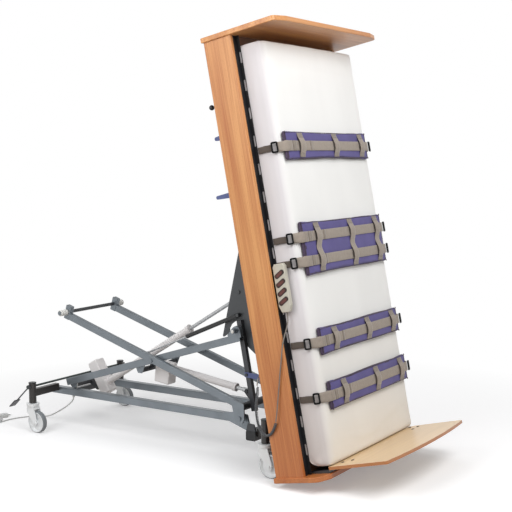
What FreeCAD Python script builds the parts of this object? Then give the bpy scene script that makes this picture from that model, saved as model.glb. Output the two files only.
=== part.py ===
import FreeCAD, Part
import math
import os
from FreeCAD import Vector as V

os.makedirs("parts", exist_ok=True)

# Standing tilt table: a hospital type bed on a scissor lift with four castors.
# World: X from the head-end castors toward the foot end, Y across, Z up from the floor.
# Bed: x toward the foot from the inner face of the foot panel (the bed lies at
# negative x), y across, z off the rear edge of the side boards, then tilted.

# general
clear = 0.5
run_clear = 0.05
seat_gap = 0.3
wall = 3.0
soft_edge = 3.0
frame_x = 1097.9

# castors and axles
castor_y = 381.0
axle_x_rear = 0.0
axle_x_front = 1610.0
wheel_r = 62.5
wheel_w = 32.0
tyre_t = 9.0
hub_r = 13.0
hub_w = 38.0
hub_web = 14.0
axle_pin_r = 5.0
axle_head_r = 8.0
axle_head_h = 4.0
trail = 34.0
fork_w_in = 41.0
fork_t = 5.0
fork_top_z = 152.0
fork_deck_z = 136.0
fork_leg_r = 16.0
fork_front = 26.0
collar_r = 37.0
collar_low_r = 34.0
collar_h = 14.0
stem_r = 11.0
stem_top = 24.0
socket_r = 21.0
socket_low = 172.0
socket_high = 286.0
cap_h = 5.0
cap_r = 22.5

# base frame
rail_y = 162.0
rail_w = 40.0
rail_low = 188.0
rail_h = 40.0
rail_back = 40.0
rail_front = 1262.0
axle_tube_z = 229.0
axle_tube_h = 42.0
axle_tube_d = 34.0
bridge_x = 62.0
bridge_d = 30.0
bridge_h = 30.0
front_bar_x = 1395.0
front_bar_d = 60.0
front_bar_low = 106.0
front_bar_h = 50.0
front_bar_half = 192.0
drop_t = 10.0
outrigger_d = 40.0
outrigger_w = 36.0
drop_outline = [(1214.0, 232.0), (1312.0, 244.0), (1366.0, 236.0), (1376.0, 196.0), (1372.0, 158.0),
                (1362.0, 153.0), (1246.0, 190.0)]

# pivots of the scissor, in the x-z plane
a_low = (1342.0, 222.0)
cross = (748.0, 464.0)
a_top = (124.0, 688.0)
b_low = (115.0, 244.5)
b_up = (1302.0, 675.0)
arm_y_a = 201.0
arm_y_b = 170.0
arm_w = 25.0
arm_h = 40.0
arm_a_start = (140.0, 663.0)
arm_a_end = (1352.0, 284.0)
arm_b_start = (80.0, 264.0)
arm_b_end = (1322.0, 641.0)
pivot_r = 8.0
pivot_boss_r = 13.0
bolt_r = 12.0
bolt_h = 6.0
low_plate_t = 8.0
low_plate_outline = [(1290.0, 322.0), (1372.0, 300.0), (1374.0, 222.0), (1362.0, 198.0), (1340.0, 190.0),
                     (1318.0, 202.0), (1310.0, 226.0)]
torsion = (1340.0, 276.0)
torsion_r = 20.0
roller_bar_r = 10.0
end_block_w = 26.0
end_block_l = 82.0
end_block_t = 30.0
roller_r = 18.0
roller_l = 52.0
roller_core_r = 11.0
low_roller_r = 16.0
low_roller_w = 11.0
low_axle_r = 9.0
hang_plate_t = 6.0
b_tail_outline = [(88.0, 268.0), (146.0, 286.0), (136.0, 240.0), (124.0, 231.0), (106.0, 231.0), (94.0, 240.0)]
b_head_outline = [(1240.0, 640.0), (1280.0, 690.0), (1296.0, 699.0), (1314.0, 696.0), (1326.0, 682.0),
                  (1332.0, 640.0)]
sleeve_r = 14.0
sleeve_l = 29.0
pivot_cap_r = 9.5
pivot_cap_h = 9.0
tilt_pin_r = 10.0

# lift actuator
lift_y = -55.0
lift_back = (660.0, 414.0)
lift_front = (1290.0, 331.0)
lift_tube_r = 20.0
lift_tube_start = 46.0
lift_tube_end = 560.0
lift_rod_r = 10.0
lift_hang = (625.0, 388.0)
lift_hang_r = 15.0
lift_along = (20.0, 122.0)
lift_across = (-92.0, 26.0)
motor_w = 74.0
rod_in_share = 0.42

# tilt actuator
tilt_back = (170.0, 212.0)
tilt_front = (1278.0, 870.0)
tilt_tube_r = 21.0
tilt_tube_start = 92.0
tilt_tube_end = 806.0
tilt_collar_l = 22.0
tilt_collar_r = 25.5
tilt_rod_r = 10.0
motor_along = (18.0, 92.0)
motor_across = (-62.0, 148.0)
eye_r = 17.0
eye_half = 14.0
eye_pin_r = 9.0
lug_t = 6.0
lug_gap = 1.0

# gas spring
gas_y = -137.0
gas_low = (663.0, 488.0)
gas_high = (1285.0, 750.0)
gas_r = 12.0
gas_rod_r = 4.5
gas_cyl_l = 372.0
gas_eye_r = 11.0
gas_eye_half = 8.0
gas_pin_r = 6.0

# brake
brake_z = 267.0
brake_af = 11.0
brake_half = 419.0
pedal_in = 8.0
pedal_y = brake_half - pedal_in
pedal_arm_r = 4.0
pedal_arm_l = 128.0
pedal_drop = 42.0
pedal_l = 62.0
pedal_w = 46.0
pedal_t = 7.0
brake_hub_r = 12.0
brake_hub_l = 14.0

# bed, tilted by lean
lean = 79.2
foot_x = 1745.0
foot_z = 47.0
bed_l = 2108.0
board_h = 158.0
board_t = 22.0
half_w = 499.0
panel_t = 25.0
panel_over = 8.0
panel_edge_r = 4.0
head_reach = 431.0
foot_reach = 272.0
corner_deep = 20.0
corner_wide = 90.0
foot_corner_deep = 34.0
foot_corner_wide = 66.0

frame_tube_w = 30.0
frame_tube_y = half_w - board_t - seat_gap - frame_tube_w
frame_tube_h = 50.0
frame_low = 60.0
cross_h = 30.0
cross_d = 30.0
cross_end = 30.0
cross_top = 48.0
cross_shares = (0.2277, 0.39374, 0.58823, 0.77799)
cross_places = [cross_end] + [bed_l * k for k in cross_shares] + [bed_l - cross_top]
deck_t = 4.0
deck_top = 154.0
edge_w = 33.0
deck_half = half_w - board_t - edge_w
edge_lip_h = 17.0
edge_lip_t = 3.0
slot_l = 54.0
slot_h = 10.5
slot_first = 119.0
slot_pitch = 134.5
slot_up = 4.0
slot_count = int((bed_l - slot_first) / slot_pitch) + 1

gusset_y = 116.0
gusset_t = 6.0
gusset_outline = [(667.0, -458.0), (1600.0, -41.0), (1660.0, -4.0), (1660.0, 60.0), (470.0, 60.0),
                  (470.0, -60.0), (560.0, -262.0), (640.0, -336.0), (742.0, -336.0), (748.0, -352.0),
                  (734.0, -382.0), (714.0, -400.0), (690.0, -405.0)]
bar_y = 134.5
bar_w = 25.0
bar_d = 30.0
bar_low_s = 268.0
bar_high_s = 750.0
bar_depth = -317.0
box_low_s = 640.0
box_high_s = 718.0
box_d = 34.0

# mattress and pads
mat_start = 34.0
mat_top_gap = 58.0
mat_l = bed_l - mat_start - mat_top_gap
mat_side_gap = 1.0
mat_half = deck_half - mat_side_gap
mat_low = 154.3
mat_high = 286.0
mat_crown = 5.0
mat_shoulder = 52.0
mat_foot_r = 34.0
mat_side_bulge = 4.0
mat_end_r = 24.0
pad_t = 22.0
pad_edge = 9.0
pad_share_list = [(0.7021, 0.7695, -0.912, 0.9165), (0.43975, 0.56262, -0.8894, 0.9481),
                  (0.25901, 0.32258, -0.87133, 0.97517), (0.13472, 0.20209, -0.85779, 0.98871)]
pads = [(bed_l * a, bed_l * b, mat_half * c, mat_half * d) for a, b, c, d in pad_share_list]
strap_w = 48.0
web_w = 32.0
strap_t = 2.0
strap_shares = [(0, 0.73435), (1, 0.52751), (1, 0.47249), (2, 0.2908), (3, 0.16841)]
strap_places = [(k, bed_l * a) for k, a in strap_shares]
loop_w = strap_w
loop_inset = 20.0
loop_rise = 14.0
loop_shares = (-0.69, 0.12, 0.8)
buckle_l = 34.0
buckle_w = 54.0
buckle_t = 6.0
buckle_turn = 30.0
buckle_drop = 11.0

# foot plate
plate_back = 257.0
plate_front = 575.0
plate_side = 65.0
plate_half = half_w - plate_side
plate_t = 15.0
plate_rise = 3.5
plate_bow = 34.0
plate_s = 30.0
plate_screw_r = 4.5
plate_screw_h = 3.0
bracket_l = 250.0
bracket_w = 40.0
bracket_t = 6.0
bracket_in = 104.0
bracket_y = plate_half - bracket_in
sill_low = 156.0
sill_high = 262.0
sill_in = 4.0
sill_half = plate_half - sill_in
sill_t = 15.0

# handset
hand_s = 776.0
hand_l = 231.0
hand_in = 36.2
hand_y = hand_in - half_w
hand_t = 25.0
hand_back = 162.0
hand_w = 66.0
hand_taper = 13.0
hand_taper_l = 30.0
hand_crop = 9.0
button_l = 58.0
button_w = 23.0
button_h = 5.0
button_pitch = 42.5
button_first = 54.0
button_turn = 60.0
button_travel = 1.5

# box for the electrics
ecu_s = 500.0
ecu_l = 190.0
ecu_in = 99.0
ecu_y = ecu_in - half_w
ecu_w = 120.0
ecu_h = 52.0

# release levers and knob
lever_in = 44.0
lever_y = lever_in - half_w
lever_t = 12.0
lever_w = 30.0
lever_tip_share = 0.55
lever_top = 40.0
upper_lever_down = 456.0
upper_lever_s = bed_l - upper_lever_down
upper_lever_l = 94.0
middle_lever_down = 736.0
middle_lever_s = bed_l - middle_lever_down
middle_lever_l = 142.0
knob_down = 302.0
knob_s = bed_l - knob_down
knob_r = 13.0
knob_stem_r = 5.0
knob_l = 84.0
lever_pin_r = 4.0
lever_pin_up = 12.0
low_lever_s = 462.0
low_lever_z = -332.0
low_lever_y = -147.0
low_lever_l = 150.0
low_lever_w = 27.0
low_lever_t = 6.0
low_lever_rise = 14.0

# cords
cord_r = 2.9
curl_r = 5.2
curl_wire = 2.3
curl_count = 54
curl_end = 6.0
curl_sample_count = 2000
turn_sample_count = 24
mains_r = 3.75
mains_z = 4.1
plug_l = 46.0
plug_w = 38.0
plug_t = 24.0
relief_l = 24.0
relief_r = 6.5
pin_l = 19.0
pin_r = 2.4
pin_half = 9.5
# routes are listed by hand: the mains lead in world x, y, z
mains_route = [(112.0, -162.0, 187.7), (112.0, -162.0, 167.0), (100.0, -160.5, 149.0), (72.0, -157.0, 127.0),
               (36.0, -150.0, 103.0), (-10.0, -140.0, 79.0), (-52.0, -129.0, 58.0), (-98.0, -117.0, 36.0),
               (-140.0, -107.0, 18.0), (-182.0, -101.0, 6.5), (-224.0, -107.0, 4.1), (-262.0, -140.0, 4.1),
               (-298.0, -194.0, 4.1), (-320.0, -256.0, 4.1), (-320.0, -312.0, 4.1), (-317.0, -350.0, 4.1)]
coil_out_r = 56.0
coil_pitch = 8.0
coil_rise = 8.1
coil_growth = 14.0
coil_turns = 3
plug_route = [(-431.0, -350.0, 12.2), (-431.0, -328.0, 12.2), (-427.0, -306.0, 12.2), (-418.0, -286.0, 12.2)]
gland_r = 8.0
gland_l = 12.0
# the handset cord in s (up the bed), w (off its rear edge) and y
thin_route = [(775.9, 196.0, -462.8), (752.0, 196.0, -463.0), (722.0, 192.0, -469.0), (684.0, 180.0, -482.0),
              (642.0, 168.0, -497.0), (600.0, 158.0, -505.0), (556.0, 147.0, -507.0), (510.0, 132.0, -507.0),
              (455.0, 117.0, -508.0), (396.0, 100.0, -509.0), (342.0, 85.0, -511.0), (302.0, 75.0, -513.6),
              (272.1, 64.2, -514.2)]
thick_route = [(268.0, 62.0, -509.0), (240.0, 47.0, -509.0), (212.0, 22.0, -509.0), (205.0, -10.0, -509.0),
               (229.0, -33.0, -509.0), (266.0, -44.0, -509.0), (330.0, -42.0, -509.0), (380.0, -29.0, -509.0),
               (426.0, -12.0, -509.0), (446.0, -9.0, -509.0)]
tail_route = [(450.7, -8.3, -514.2), (470.0, -7.5, -506.0), (492.0, -9.0, -488.0), (510.0, -6.0, -456.0),
              (518.0, 6.0, -428.0), (519.0, 15.6, -401.2)]


def add(a, b):
    return a.fuse(b)


def box(x0, x1, y0, y1, z0, z1):
    return Part.makeBox(x1 - x0, y1 - y0, z1 - z0, V(x0, y0, z0))


def soft_box(x0, x1, y0, y1, z0, z1, r):
    b = box(x0, x1, y0, y1, z0, z1)
    return b.makeFillet(r, b.Edges)


def cyl_y(p, r, y0, y1):
    return Part.makeCylinder(r, y1 - y0, V(p[0], y0, p[1]), V(0, 1, 0))


def cyl_z(x, y, r, z0, z1):
    return Part.makeCylinder(r, z1 - z0, V(x, y, z0), V(0, 0, 1))


def slab(points, y0, y1):
    pts = [V(x, y0, z) for x, z in points]
    return Part.Face(Part.makePolygon(pts + [pts[0]])).extrude(V(0, y1 - y0, 0))


def upright_edges(shape):
    return [e for e in shape.Edges if abs(e.Vertexes[0].X - e.Vertexes[-1].X) < clear
            and abs(e.Vertexes[0].Z - e.Vertexes[-1].Z) < clear]


def round_slab(points, y0, y1, r):
    s = slab(points, y0, y1)
    return s.makeFillet(r, upright_edges(s))


def along(p, q):
    return math.degrees(math.atan2(q[1] - p[1], q[0] - p[0]))


def reach(p, q):
    return math.hypot(q[0] - p[0], q[1] - p[1])


def at(shape, p, angle):
    # lays a shape built along local X from the origin at p, rising by angle
    s = shape.copy()
    s.rotate(V(0, 0, 0), V(0, 1, 0), -angle)
    s.translate(V(p[0], 0, p[1]))
    return s


def box_tube(p, q, y0, y1, h):
    # square tube between two points of the x-z plane, open at both ends
    n = reach(p, q)
    out = box(0, n, y0, y1, -h / 2, h / 2)
    out = out.makeFillet(soft_edge, [e for e in out.Edges if abs(e.Length - n) < clear])
    cut = box(-wall, n + wall, y0 + wall, y1 - wall, -h / 2 + wall, h / 2 - wall)
    return at(out.cut(cut), p, along(p, q))


def plug(p, q, y0, y1, h):
    # end plug of such a tube, at p, facing away from q
    core = box(0, wall * 2, y0 + wall + run_clear, y1 - wall - run_clear,
               -h / 2 + wall + run_clear, h / 2 - wall - run_clear)
    head = box(-wall / 2, 0, y0, y1, -h / 2, h / 2)
    head = head.makeFillet(soft_edge, [e for e in head.Edges if abs(e.Length - wall / 2) < run_clear])
    return at(add(head, core), p, along(p, q))


def mirror(shape):
    return shape.mirror(V(0, 0, 0), V(0, 1, 0))


def both(shape):
    return [shape, mirror(shape)]


def to_bed(p):
    # x-z point of the world in bed coordinates
    c, s = math.cos(math.radians(lean)), math.sin(math.radians(lean))
    dx, dz = p[0] - foot_x, p[1] - foot_z
    return (dx * c - dz * s, dx * s + dz * c)


def bed(shape):
    s = shape.copy()
    s.rotate(V(0, 0, 0), V(0, 1, 0), lean)
    s.translate(V(foot_x, 0, foot_z))
    return s


def save(name, *shapes):
    done = []
    for s in shapes:
        done += [x.copy() for x in s.Solids]
    for x in done:
        x.translate(V(-frame_x, 0, 0))
    out = done[0] if len(done) == 1 else Part.makeCompound(done)
    out.exportStep("parts/" + name + ".step")


# castors: socket, swivel fork, wheel and tyre
def wheel_at(x, y):
    prof = [(axle_pin_r + run_clear, -hub_w / 2), (hub_r, -hub_w / 2), (hub_r, -hub_web / 2),
            (wheel_r - tyre_t * 2, -hub_web / 2), (wheel_r - tyre_t - soft_edge, -wheel_w / 2 + soft_edge),
            (wheel_r - tyre_t, -wheel_w / 2 + soft_edge), (wheel_r - tyre_t, wheel_w / 2 - soft_edge),
            (wheel_r - tyre_t - soft_edge, wheel_w / 2 - soft_edge), (wheel_r - tyre_t * 2, hub_web / 2),
            (hub_r, hub_web / 2), (hub_r, hub_w / 2), (axle_pin_r + run_clear, hub_w / 2)]
    pts = [V(r, t, 0) for r, t in prof]
    hub = Part.Face(Part.makePolygon(pts + [pts[0]])).revolve(V(0, 0, 0), V(0, 1, 0), 360)
    hub.translate(V(x + trail, y, wheel_r))
    band = Part.makeCylinder(wheel_r, wheel_w, V(0, -wheel_w / 2, 0), V(0, 1, 0))
    band = band.makeFillet(tyre_t - soft_edge, band.Edges[0:3:2])
    band = band.cut(Part.makeCylinder(wheel_r - tyre_t, wheel_w * 2, V(0, -wheel_w, 0), V(0, 1, 0)))
    band.translate(V(x + trail, y, wheel_r))
    return hub, band


def fork_at(x, y):
    top = fork_top_z
    half = fork_w_in / 2 + fork_t
    side = [(-fork_front, top), (fork_front, top), (trail + fork_leg_r, wheel_r + fork_leg_r),
            (trail + fork_leg_r, wheel_r - fork_leg_r / 2), (trail + fork_leg_r / 2, wheel_r - fork_leg_r),
            (trail - fork_leg_r / 2, wheel_r - fork_leg_r), (trail - fork_leg_r, wheel_r),
            (-fork_front, fork_deck_z - fork_leg_r)]
    body = round_slab(side, -half, half, soft_edge * 2)
    hollow = box(-fork_front * 2, trail * 3, -fork_w_in / 2, fork_w_in / 2, 0, fork_deck_z)
    body = body.cut(hollow)
    neck = Part.makeCone(collar_low_r, collar_r, collar_h, V(0, 0, top - seat_gap), V(0, 0, 1))
    rim = cyl_z(0, 0, collar_r, top + collar_h - seat_gap, top + collar_h + soft_edge)
    body = add(add(body, neck), rim).removeSplitter()
    stem = cyl_z(0, 0, stem_r, top, socket_low + stem_top)
    pin = cyl_y((trail, wheel_r), axle_pin_r, -half - axle_head_h / 2, half + axle_head_h / 2)
    heads = [cyl_y((trail, wheel_r), axle_head_r, half, half + axle_head_h),
             cyl_y((trail, wheel_r), axle_head_r, -half - axle_head_h, -half)]
    body = add(add(body, stem), pin)
    for hd in heads:
        body = add(body, hd)
    body = body.removeSplitter()
    body.translate(V(x, y, 0))
    return body


def socket_at(x, y, bored):
    tube = cyl_z(x, y, socket_r, socket_low, socket_high)
    tube = tube.cut(cyl_z(x, y, stem_r + run_clear, socket_low - clear, socket_low + stem_top + clear))
    if bored:
        tube = tube.cut(cyl_y((x, brake_z), brake_hub_r / 2 + clear * 2, y - socket_r * 2, y + socket_r * 2))
    cap = cyl_z(x, y, cap_r, socket_high, socket_high + cap_h)
    cap = cap.makeFillet(soft_edge / 2, [cap.Edges[0]])
    return tube, cap


caps = []
for tag, ax in (("rear", axle_x_rear), ("front", axle_x_front)):
    for side, sy in (("right", -1), ("left", 1)):
        cy = sy * castor_y
        hub, band = wheel_at(ax, cy)
        save("castor_wheel_" + tag + "_" + side, hub, band)
        save("castor_fork_" + tag + "_" + side, fork_at(ax, cy))
        caps.append(socket_at(ax, cy, tag == "rear")[1])


def axle_stub(ax, sy, y_in, bored):
    # socket with the tube that carries it, from the socket to y_in
    z0 = axle_tube_z - axle_tube_h / 2
    arm = box(ax - axle_tube_d / 2, ax + axle_tube_d / 2, y_in, castor_y, z0, z0 + axle_tube_h)
    arm = arm.makeFillet(soft_edge, [e for e in arm.Edges if abs(e.Length - (castor_y - y_in)) < clear])
    arm = arm.cut(box(ax - axle_tube_d / 2 + wall, ax + axle_tube_d / 2 - wall, y_in - wall,
                      castor_y - socket_r, z0 + wall, z0 + axle_tube_h - wall))
    arm = arm.cut(cyl_z(ax, castor_y, socket_r + run_clear, 0, socket_high))
    pair = [socket_at(ax, castor_y, bored)[0], arm]
    return pair if sy > 0 else [mirror(q) for q in pair]


rail_out = rail_y + rail_w / 2
rail_in = rail_y - rail_w / 2
rear_axles = axle_stub(axle_x_rear, -1, rail_out, True) + axle_stub(axle_x_rear, 1, rail_out, True)
front_socket_l, front_tube_l = axle_stub(axle_x_front, 1, 0, False)
front_socket_r, front_tube_r = axle_stub(axle_x_front, -1, 0, False)
front_axle = add(front_tube_l, front_tube_r).removeSplitter()
save("castor_axle_tubes", front_axle, front_socket_l, front_socket_r, *rear_axles)

# base rails, each with its dropped front bracket and the pivot boss of arm A
rail_mid = rail_low + rail_h / 2
rails = []
plugs = []
for sy in (-1, 1):
    y0, y1 = rail_in, rail_out
    r = box_tube((-rail_back, rail_mid), (rail_front, rail_mid), y0, y1, rail_h)
    drop = round_slab(drop_outline, y1 - drop_t, y1, soft_edge)
    drop = drop.cut(box(rail_front - rail_w * 4, rail_front, y0 + wall, y1 - wall,
                        rail_low + wall, rail_low + rail_h - wall))
    boss = cyl_y(a_low, pivot_boss_r, y1 - drop_t, arm_y_a - arm_w / 2 - seat_gap)
    pin = cyl_y(a_low, pivot_r, y1 - drop_t, arm_y_a + arm_w / 2 + low_plate_t + clear)
    head = cyl_y(a_low, bolt_r, arm_y_a + arm_w / 2 + low_plate_t + seat_gap,
                 arm_y_a + arm_w / 2 + low_plate_t + bolt_h)
    r = add(add(r, drop), boss)
    r = add(add(r, pin), head).removeSplitter()
    rails.append(r if sy > 0 else mirror(r))
    p = plug((-rail_back, rail_mid), (rail_front, rail_mid), y0, y1, rail_h)
    plugs.append(p if sy > 0 else mirror(p))
save("base_rails", *rails)

bridge = box(bridge_x - bridge_d / 2, bridge_x + bridge_d / 2, -rail_in, rail_in,
             rail_mid - bridge_h, rail_mid)
bridge = bridge.makeFillet(soft_edge, [e for e in bridge.Edges if abs(e.Length - rail_in * 2) < clear])

fb0, fb1 = front_bar_x - front_bar_d / 2, front_bar_x + front_bar_d / 2
fbz = front_bar_low + front_bar_h
front_bar = box(fb0, fb1, -front_bar_half, front_bar_half, front_bar_low, fbz)
front_bar = front_bar.makeFillet(soft_edge * 2, [e for e in front_bar.Edges
                                                 if abs(e.Length - front_bar_half * 2) < clear])
front_bar = front_bar.cut(box(fb0 + wall, fb1 - wall, -front_bar_half - wall, front_bar_half + wall,
                              front_bar_low + wall, fbz - wall))
# the drop brackets stand on the bar
ears = []
for sy in (-1, 1):
    e = round_slab([(fb0, fbz - seat_gap), (fb1, fbz - seat_gap), (fb1 - soft_edge * 4, fbz + outrigger_w),
                    (drop_outline[3][0], drop_outline[3][1])], rail_out, rail_out + drop_t, soft_edge / 2)
    e = e.common(box(fb0 - front_bar_d, fb1, 0, castor_y, 0, socket_high))
    e = e.cut(cyl_y(a_low, bolt_r + pivot_r, 0, castor_y))
    ears.append(e if sy > 0 else mirror(e))
front_bar = add(add(front_bar, ears[0]), ears[1])
save("base_cross_tubes", bridge, front_bar)
stops = []
for sy in (-1, 1):
    c = box(fb0, fb1, front_bar_half, front_bar_half + wall, front_bar_low, fbz)
    c = c.makeFillet(soft_edge * 2, upright_edges(c)[0:4])
    stops.append(c if sy > 0 else mirror(c))
save("chassis_end_caps", plugs[0], plugs[1], *(caps + stops))

p_low = (front_bar_x + front_bar_d / 2 - wall, front_bar_low + front_bar_h / 2)
p_high = (axle_x_front - axle_tube_d / 2 + wall / 2, axle_tube_z)
outriggers = []
for sy in (-1, 1):
    o = box_tube((fb1 - outrigger_d, p_low[1]), (axle_x_front, p_high[1]),
                 rail_in, rail_in + outrigger_w, outrigger_d)
    o = o.common(box(fb1, axle_x_front - axle_tube_d / 2, 0, castor_y, 0, socket_high))
    outriggers.append(o if sy > 0 else mirror(o))
save("front_outriggers", *outriggers)

# arm A: tube, lower plate, torsion tube, roller bar
arm_a = []
a_in, a_out = arm_y_a - arm_w / 2, arm_y_a + arm_w / 2
for sy in (-1, 1):
    t = box_tube(arm_a_start, arm_a_end, a_in, a_out, arm_h)
    lp = round_slab(low_plate_outline, a_out, a_out + low_plate_t, soft_edge * 2)
    inner = round_slab(low_plate_outline, a_in, a_in + wall, soft_edge)
    inner = inner.cut(box(0, rail_front + rail_h, 0, castor_y, 0, socket_high * 2))
    web = box(torsion[0] - wall, torsion[0] + torsion_r / 2, a_in, a_out + clear,
              torsion[1] - torsion_r, torsion[1] - arm_h / 4)
    t = add(add(t, lp), web)
    t = t.cut(cyl_y(a_low, pivot_r + run_clear, 0, castor_y))
    t = t.cut(cyl_y(a_low, pivot_boss_r + clear * 2, 0, a_in + clear * 2))
    boss = cyl_y(cross, pivot_boss_r, a_in + wall / 2, a_out - wall / 2)
    t = add(t, boss).cut(cyl_y(cross, pivot_r + run_clear, 0, castor_y)).removeSplitter()
    arm_a.append(t if sy > 0 else mirror(t))
save("lift_arms_outer", *arm_a)

tor = cyl_y(torsion, torsion_r, -a_in, a_in)
tor = tor.cut(cyl_y(torsion, torsion_r - wall, -a_in - wall, a_in + wall))
lug_dir = along(torsion, lift_front)
lug_len = reach(torsion, lift_front)
for k in (-1, 1):
    yk = lift_y + k * (eye_half + lug_gap + lug_t / 2)
    lug = box(torsion_r - wall / 2, lug_len, yk - lug_t / 2, yk + lug_t / 2, -eye_r * 0.8, eye_r * 0.8)
    lug = add(lug, Part.makeCylinder(eye_r * 0.8, lug_t, V(lug_len, yk - lug_t / 2, 0), V(0, 1, 0)))
    headk = Part.makeCylinder(bolt_r * 0.8, bolt_h, V(lug_len, yk - bolt_h / 2 + k * (lug_t + bolt_h) / 2, 0),
                              V(0, 1, 0))
    tor = add(tor, at(add(lug, headk), torsion, lug_dir))
tor = tor.removeSplitter()

blocks = []
side_dir = along(arm_a_start, arm_a_end)
for sy in (-1, 1):
    b = soft_box(-end_block_w / 2, end_block_w, a_in - soft_edge, a_in - soft_edge + end_block_t,
                 -end_block_l / 2, end_block_l / 2, soft_edge)
    b = at(b, a_top, side_dir)
    blocks.append(b if sy > 0 else mirror(b))
blk_out = a_in - soft_edge + end_block_t
bar = cyl_y(a_top, roller_bar_r, -blk_out - roller_l - clear * 4, blk_out + roller_l + clear * 4)
ends = [cyl_y(a_top, roller_core_r + clear * 2, blk_out + roller_l + clear * 3, blk_out + roller_l + bolt_h)]
for e in ends + [mirror(ends[0])]:
    bar = add(bar, e)
# the blocks close the arm tubes, so they are cut by them
arms_solid = [at(box(0, reach(arm_a_start, arm_a_end), a_in, a_out, -arm_h / 2, arm_h / 2),
                 arm_a_start, side_dir)]
blocks = [b.cut(cyl_y(a_top, roller_bar_r, -castor_y, castor_y)) for b in blocks]
blocks[0] = blocks[0].cut(mirror(arms_solid[0]))
blocks[1] = blocks[1].cut(arms_solid[0])
save("outer_arm_cross_tubes", tor, bar.removeSplitter(), *blocks)
rollers = []
for sy in (-1, 1):
    r = cyl_y(a_top, roller_r, blk_out + clear, blk_out + clear + roller_l)
    r = r.makeFillet(soft_edge, [r.Edges[0], r.Edges[2]])
    r = r.cut(cyl_y(a_top, roller_bar_r + run_clear, 0, castor_y))
    rollers.append(r if sy > 0 else mirror(r))
save("upper_rollers", *rollers)

# arm B: tube, tail plate with the lower axle, head plate with the upper pivot
arm_b = []
b_in, b_out = arm_y_b - arm_w / 2, arm_y_b + arm_w / 2
for sy in (-1, 1):
    t = box_tube(arm_b_start, arm_b_end, b_in, b_out, arm_h)
    tail = round_slab(b_tail_outline, b_in, b_in + hang_plate_t, soft_edge * 2)
    head = round_slab(b_head_outline, b_in, b_out, soft_edge * 2)
    core = at(box(-wall, reach(arm_b_start, arm_b_end) + wall, b_in + wall, b_out - wall,
                  -arm_h / 2 + wall, arm_h / 2 - wall), arm_b_start, along(arm_b_start, arm_b_end))
    t = add(add(t, tail), head.cut(core))
    gl = round_slab([(gas_low[0] - eye_r, gas_low[1] - arm_h * 1.4), (gas_low[0] + eye_r, gas_low[1] - arm_h * 1.2),
                     (gas_low[0] + gas_eye_r, gas_low[1] + gas_eye_r), (gas_low[0] - gas_eye_r, gas_low[1] + gas_eye_r)],
                    b_in, b_in + hang_plate_t, soft_edge)
    if sy < 0:
        gas_stub = cyl_y(gas_low, gas_pin_r, -gas_y + gas_eye_half + lug_gap, b_in + wall)
        t = add(add(t, gl.cut(core)), gas_stub)
    boss = cyl_y(cross, pivot_boss_r, b_in + wall / 2, a_in - seat_gap)
    pin = cyl_y(cross, pivot_r, b_in + wall / 2, a_out + seat_gap + bolt_h / 2)
    hd = cyl_y(cross, bolt_r, a_out + seat_gap, a_out + bolt_h)
    hang = slab([(lift_hang[0] - lift_hang_r, lift_hang[1] - lift_hang_r),
                 (lift_hang[0] + lift_hang_r, lift_hang[1] - lift_hang_r),
                 (lift_hang[0] + arm_h, lift_hang[1] + arm_h), (lift_hang[0] - arm_h, lift_hang[1] + arm_h)],
                b_in, b_in + wall)
    t = add(add(t, boss), pin)
    t = add(add(t, hd), hang.cut(core)).removeSplitter()
    up = cyl_y(b_up, tilt_pin_r, bar_y - bar_w / 2 + wall, b_out + sleeve_l + pivot_cap_h / 2)
    sl = cyl_y(b_up, sleeve_r, b_out, b_out + sleeve_l)
    t = add(add(t, up), sl).removeSplitter()
    arm_b.append(t if sy > 0 else mirror(t))
    p = plug(arm_b_start, arm_b_end, b_in, b_out, arm_h)
    plugs.append(p if sy > 0 else mirror(p))
save("lift_arms_inner", *arm_b)
white = cyl_y(b_up, pivot_cap_r, b_out + sleeve_l, b_out + sleeve_l + pivot_cap_h)
white = white.makeFillet(soft_edge, [white.Edges[0]])
white = white.cut(cyl_y(b_up, tilt_pin_r, 0, b_out + sleeve_l + pivot_cap_h / 2))
save("inner_arm_caps", plugs[2], plugs[3], *both(white))

low_axle = cyl_y(b_low, low_axle_r, -b_in, b_in)
core_y = rail_in - clear * 2
low_axle = add(low_axle, cyl_y(b_low, low_roller_r - clear * 4, -core_y, core_y))
back_dir = along(b_low, tilt_back)
back_len = reach(b_low, tilt_back)
for k in (-1, 1):
    yk = k * (eye_half + lug_gap + lug_t / 2)
    lug = box(low_roller_r / 2, back_len, yk - lug_t / 2, yk + lug_t / 2, -eye_r * 0.8, eye_r * 0.8)
    lug = add(lug, Part.makeCylinder(eye_r * 0.8, lug_t, V(back_len, yk - lug_t / 2, 0), V(0, 1, 0)))
    low_axle = add(low_axle, at(lug, b_low, back_dir))
back_pin = cyl_y(tilt_back, eye_pin_r, -eye_half - lug_gap - lug_t - bolt_h, eye_half + lug_gap + lug_t + bolt_h)
low_axle = add(low_axle, back_pin).removeSplitter()
lows = []
for sy in (-1, 1):
    r = cyl_y(b_low, low_roller_r, core_y + clear, core_y + clear + low_roller_w)
    r = r.makeFillet(soft_edge / 2, [r.Edges[0], r.Edges[2]])
    r = r.cut(cyl_y(b_low, low_axle_r + run_clear, 0, castor_y))
    lows.append(r if sy > 0 else mirror(r))
save("lower_rollers", *lows)

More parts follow.
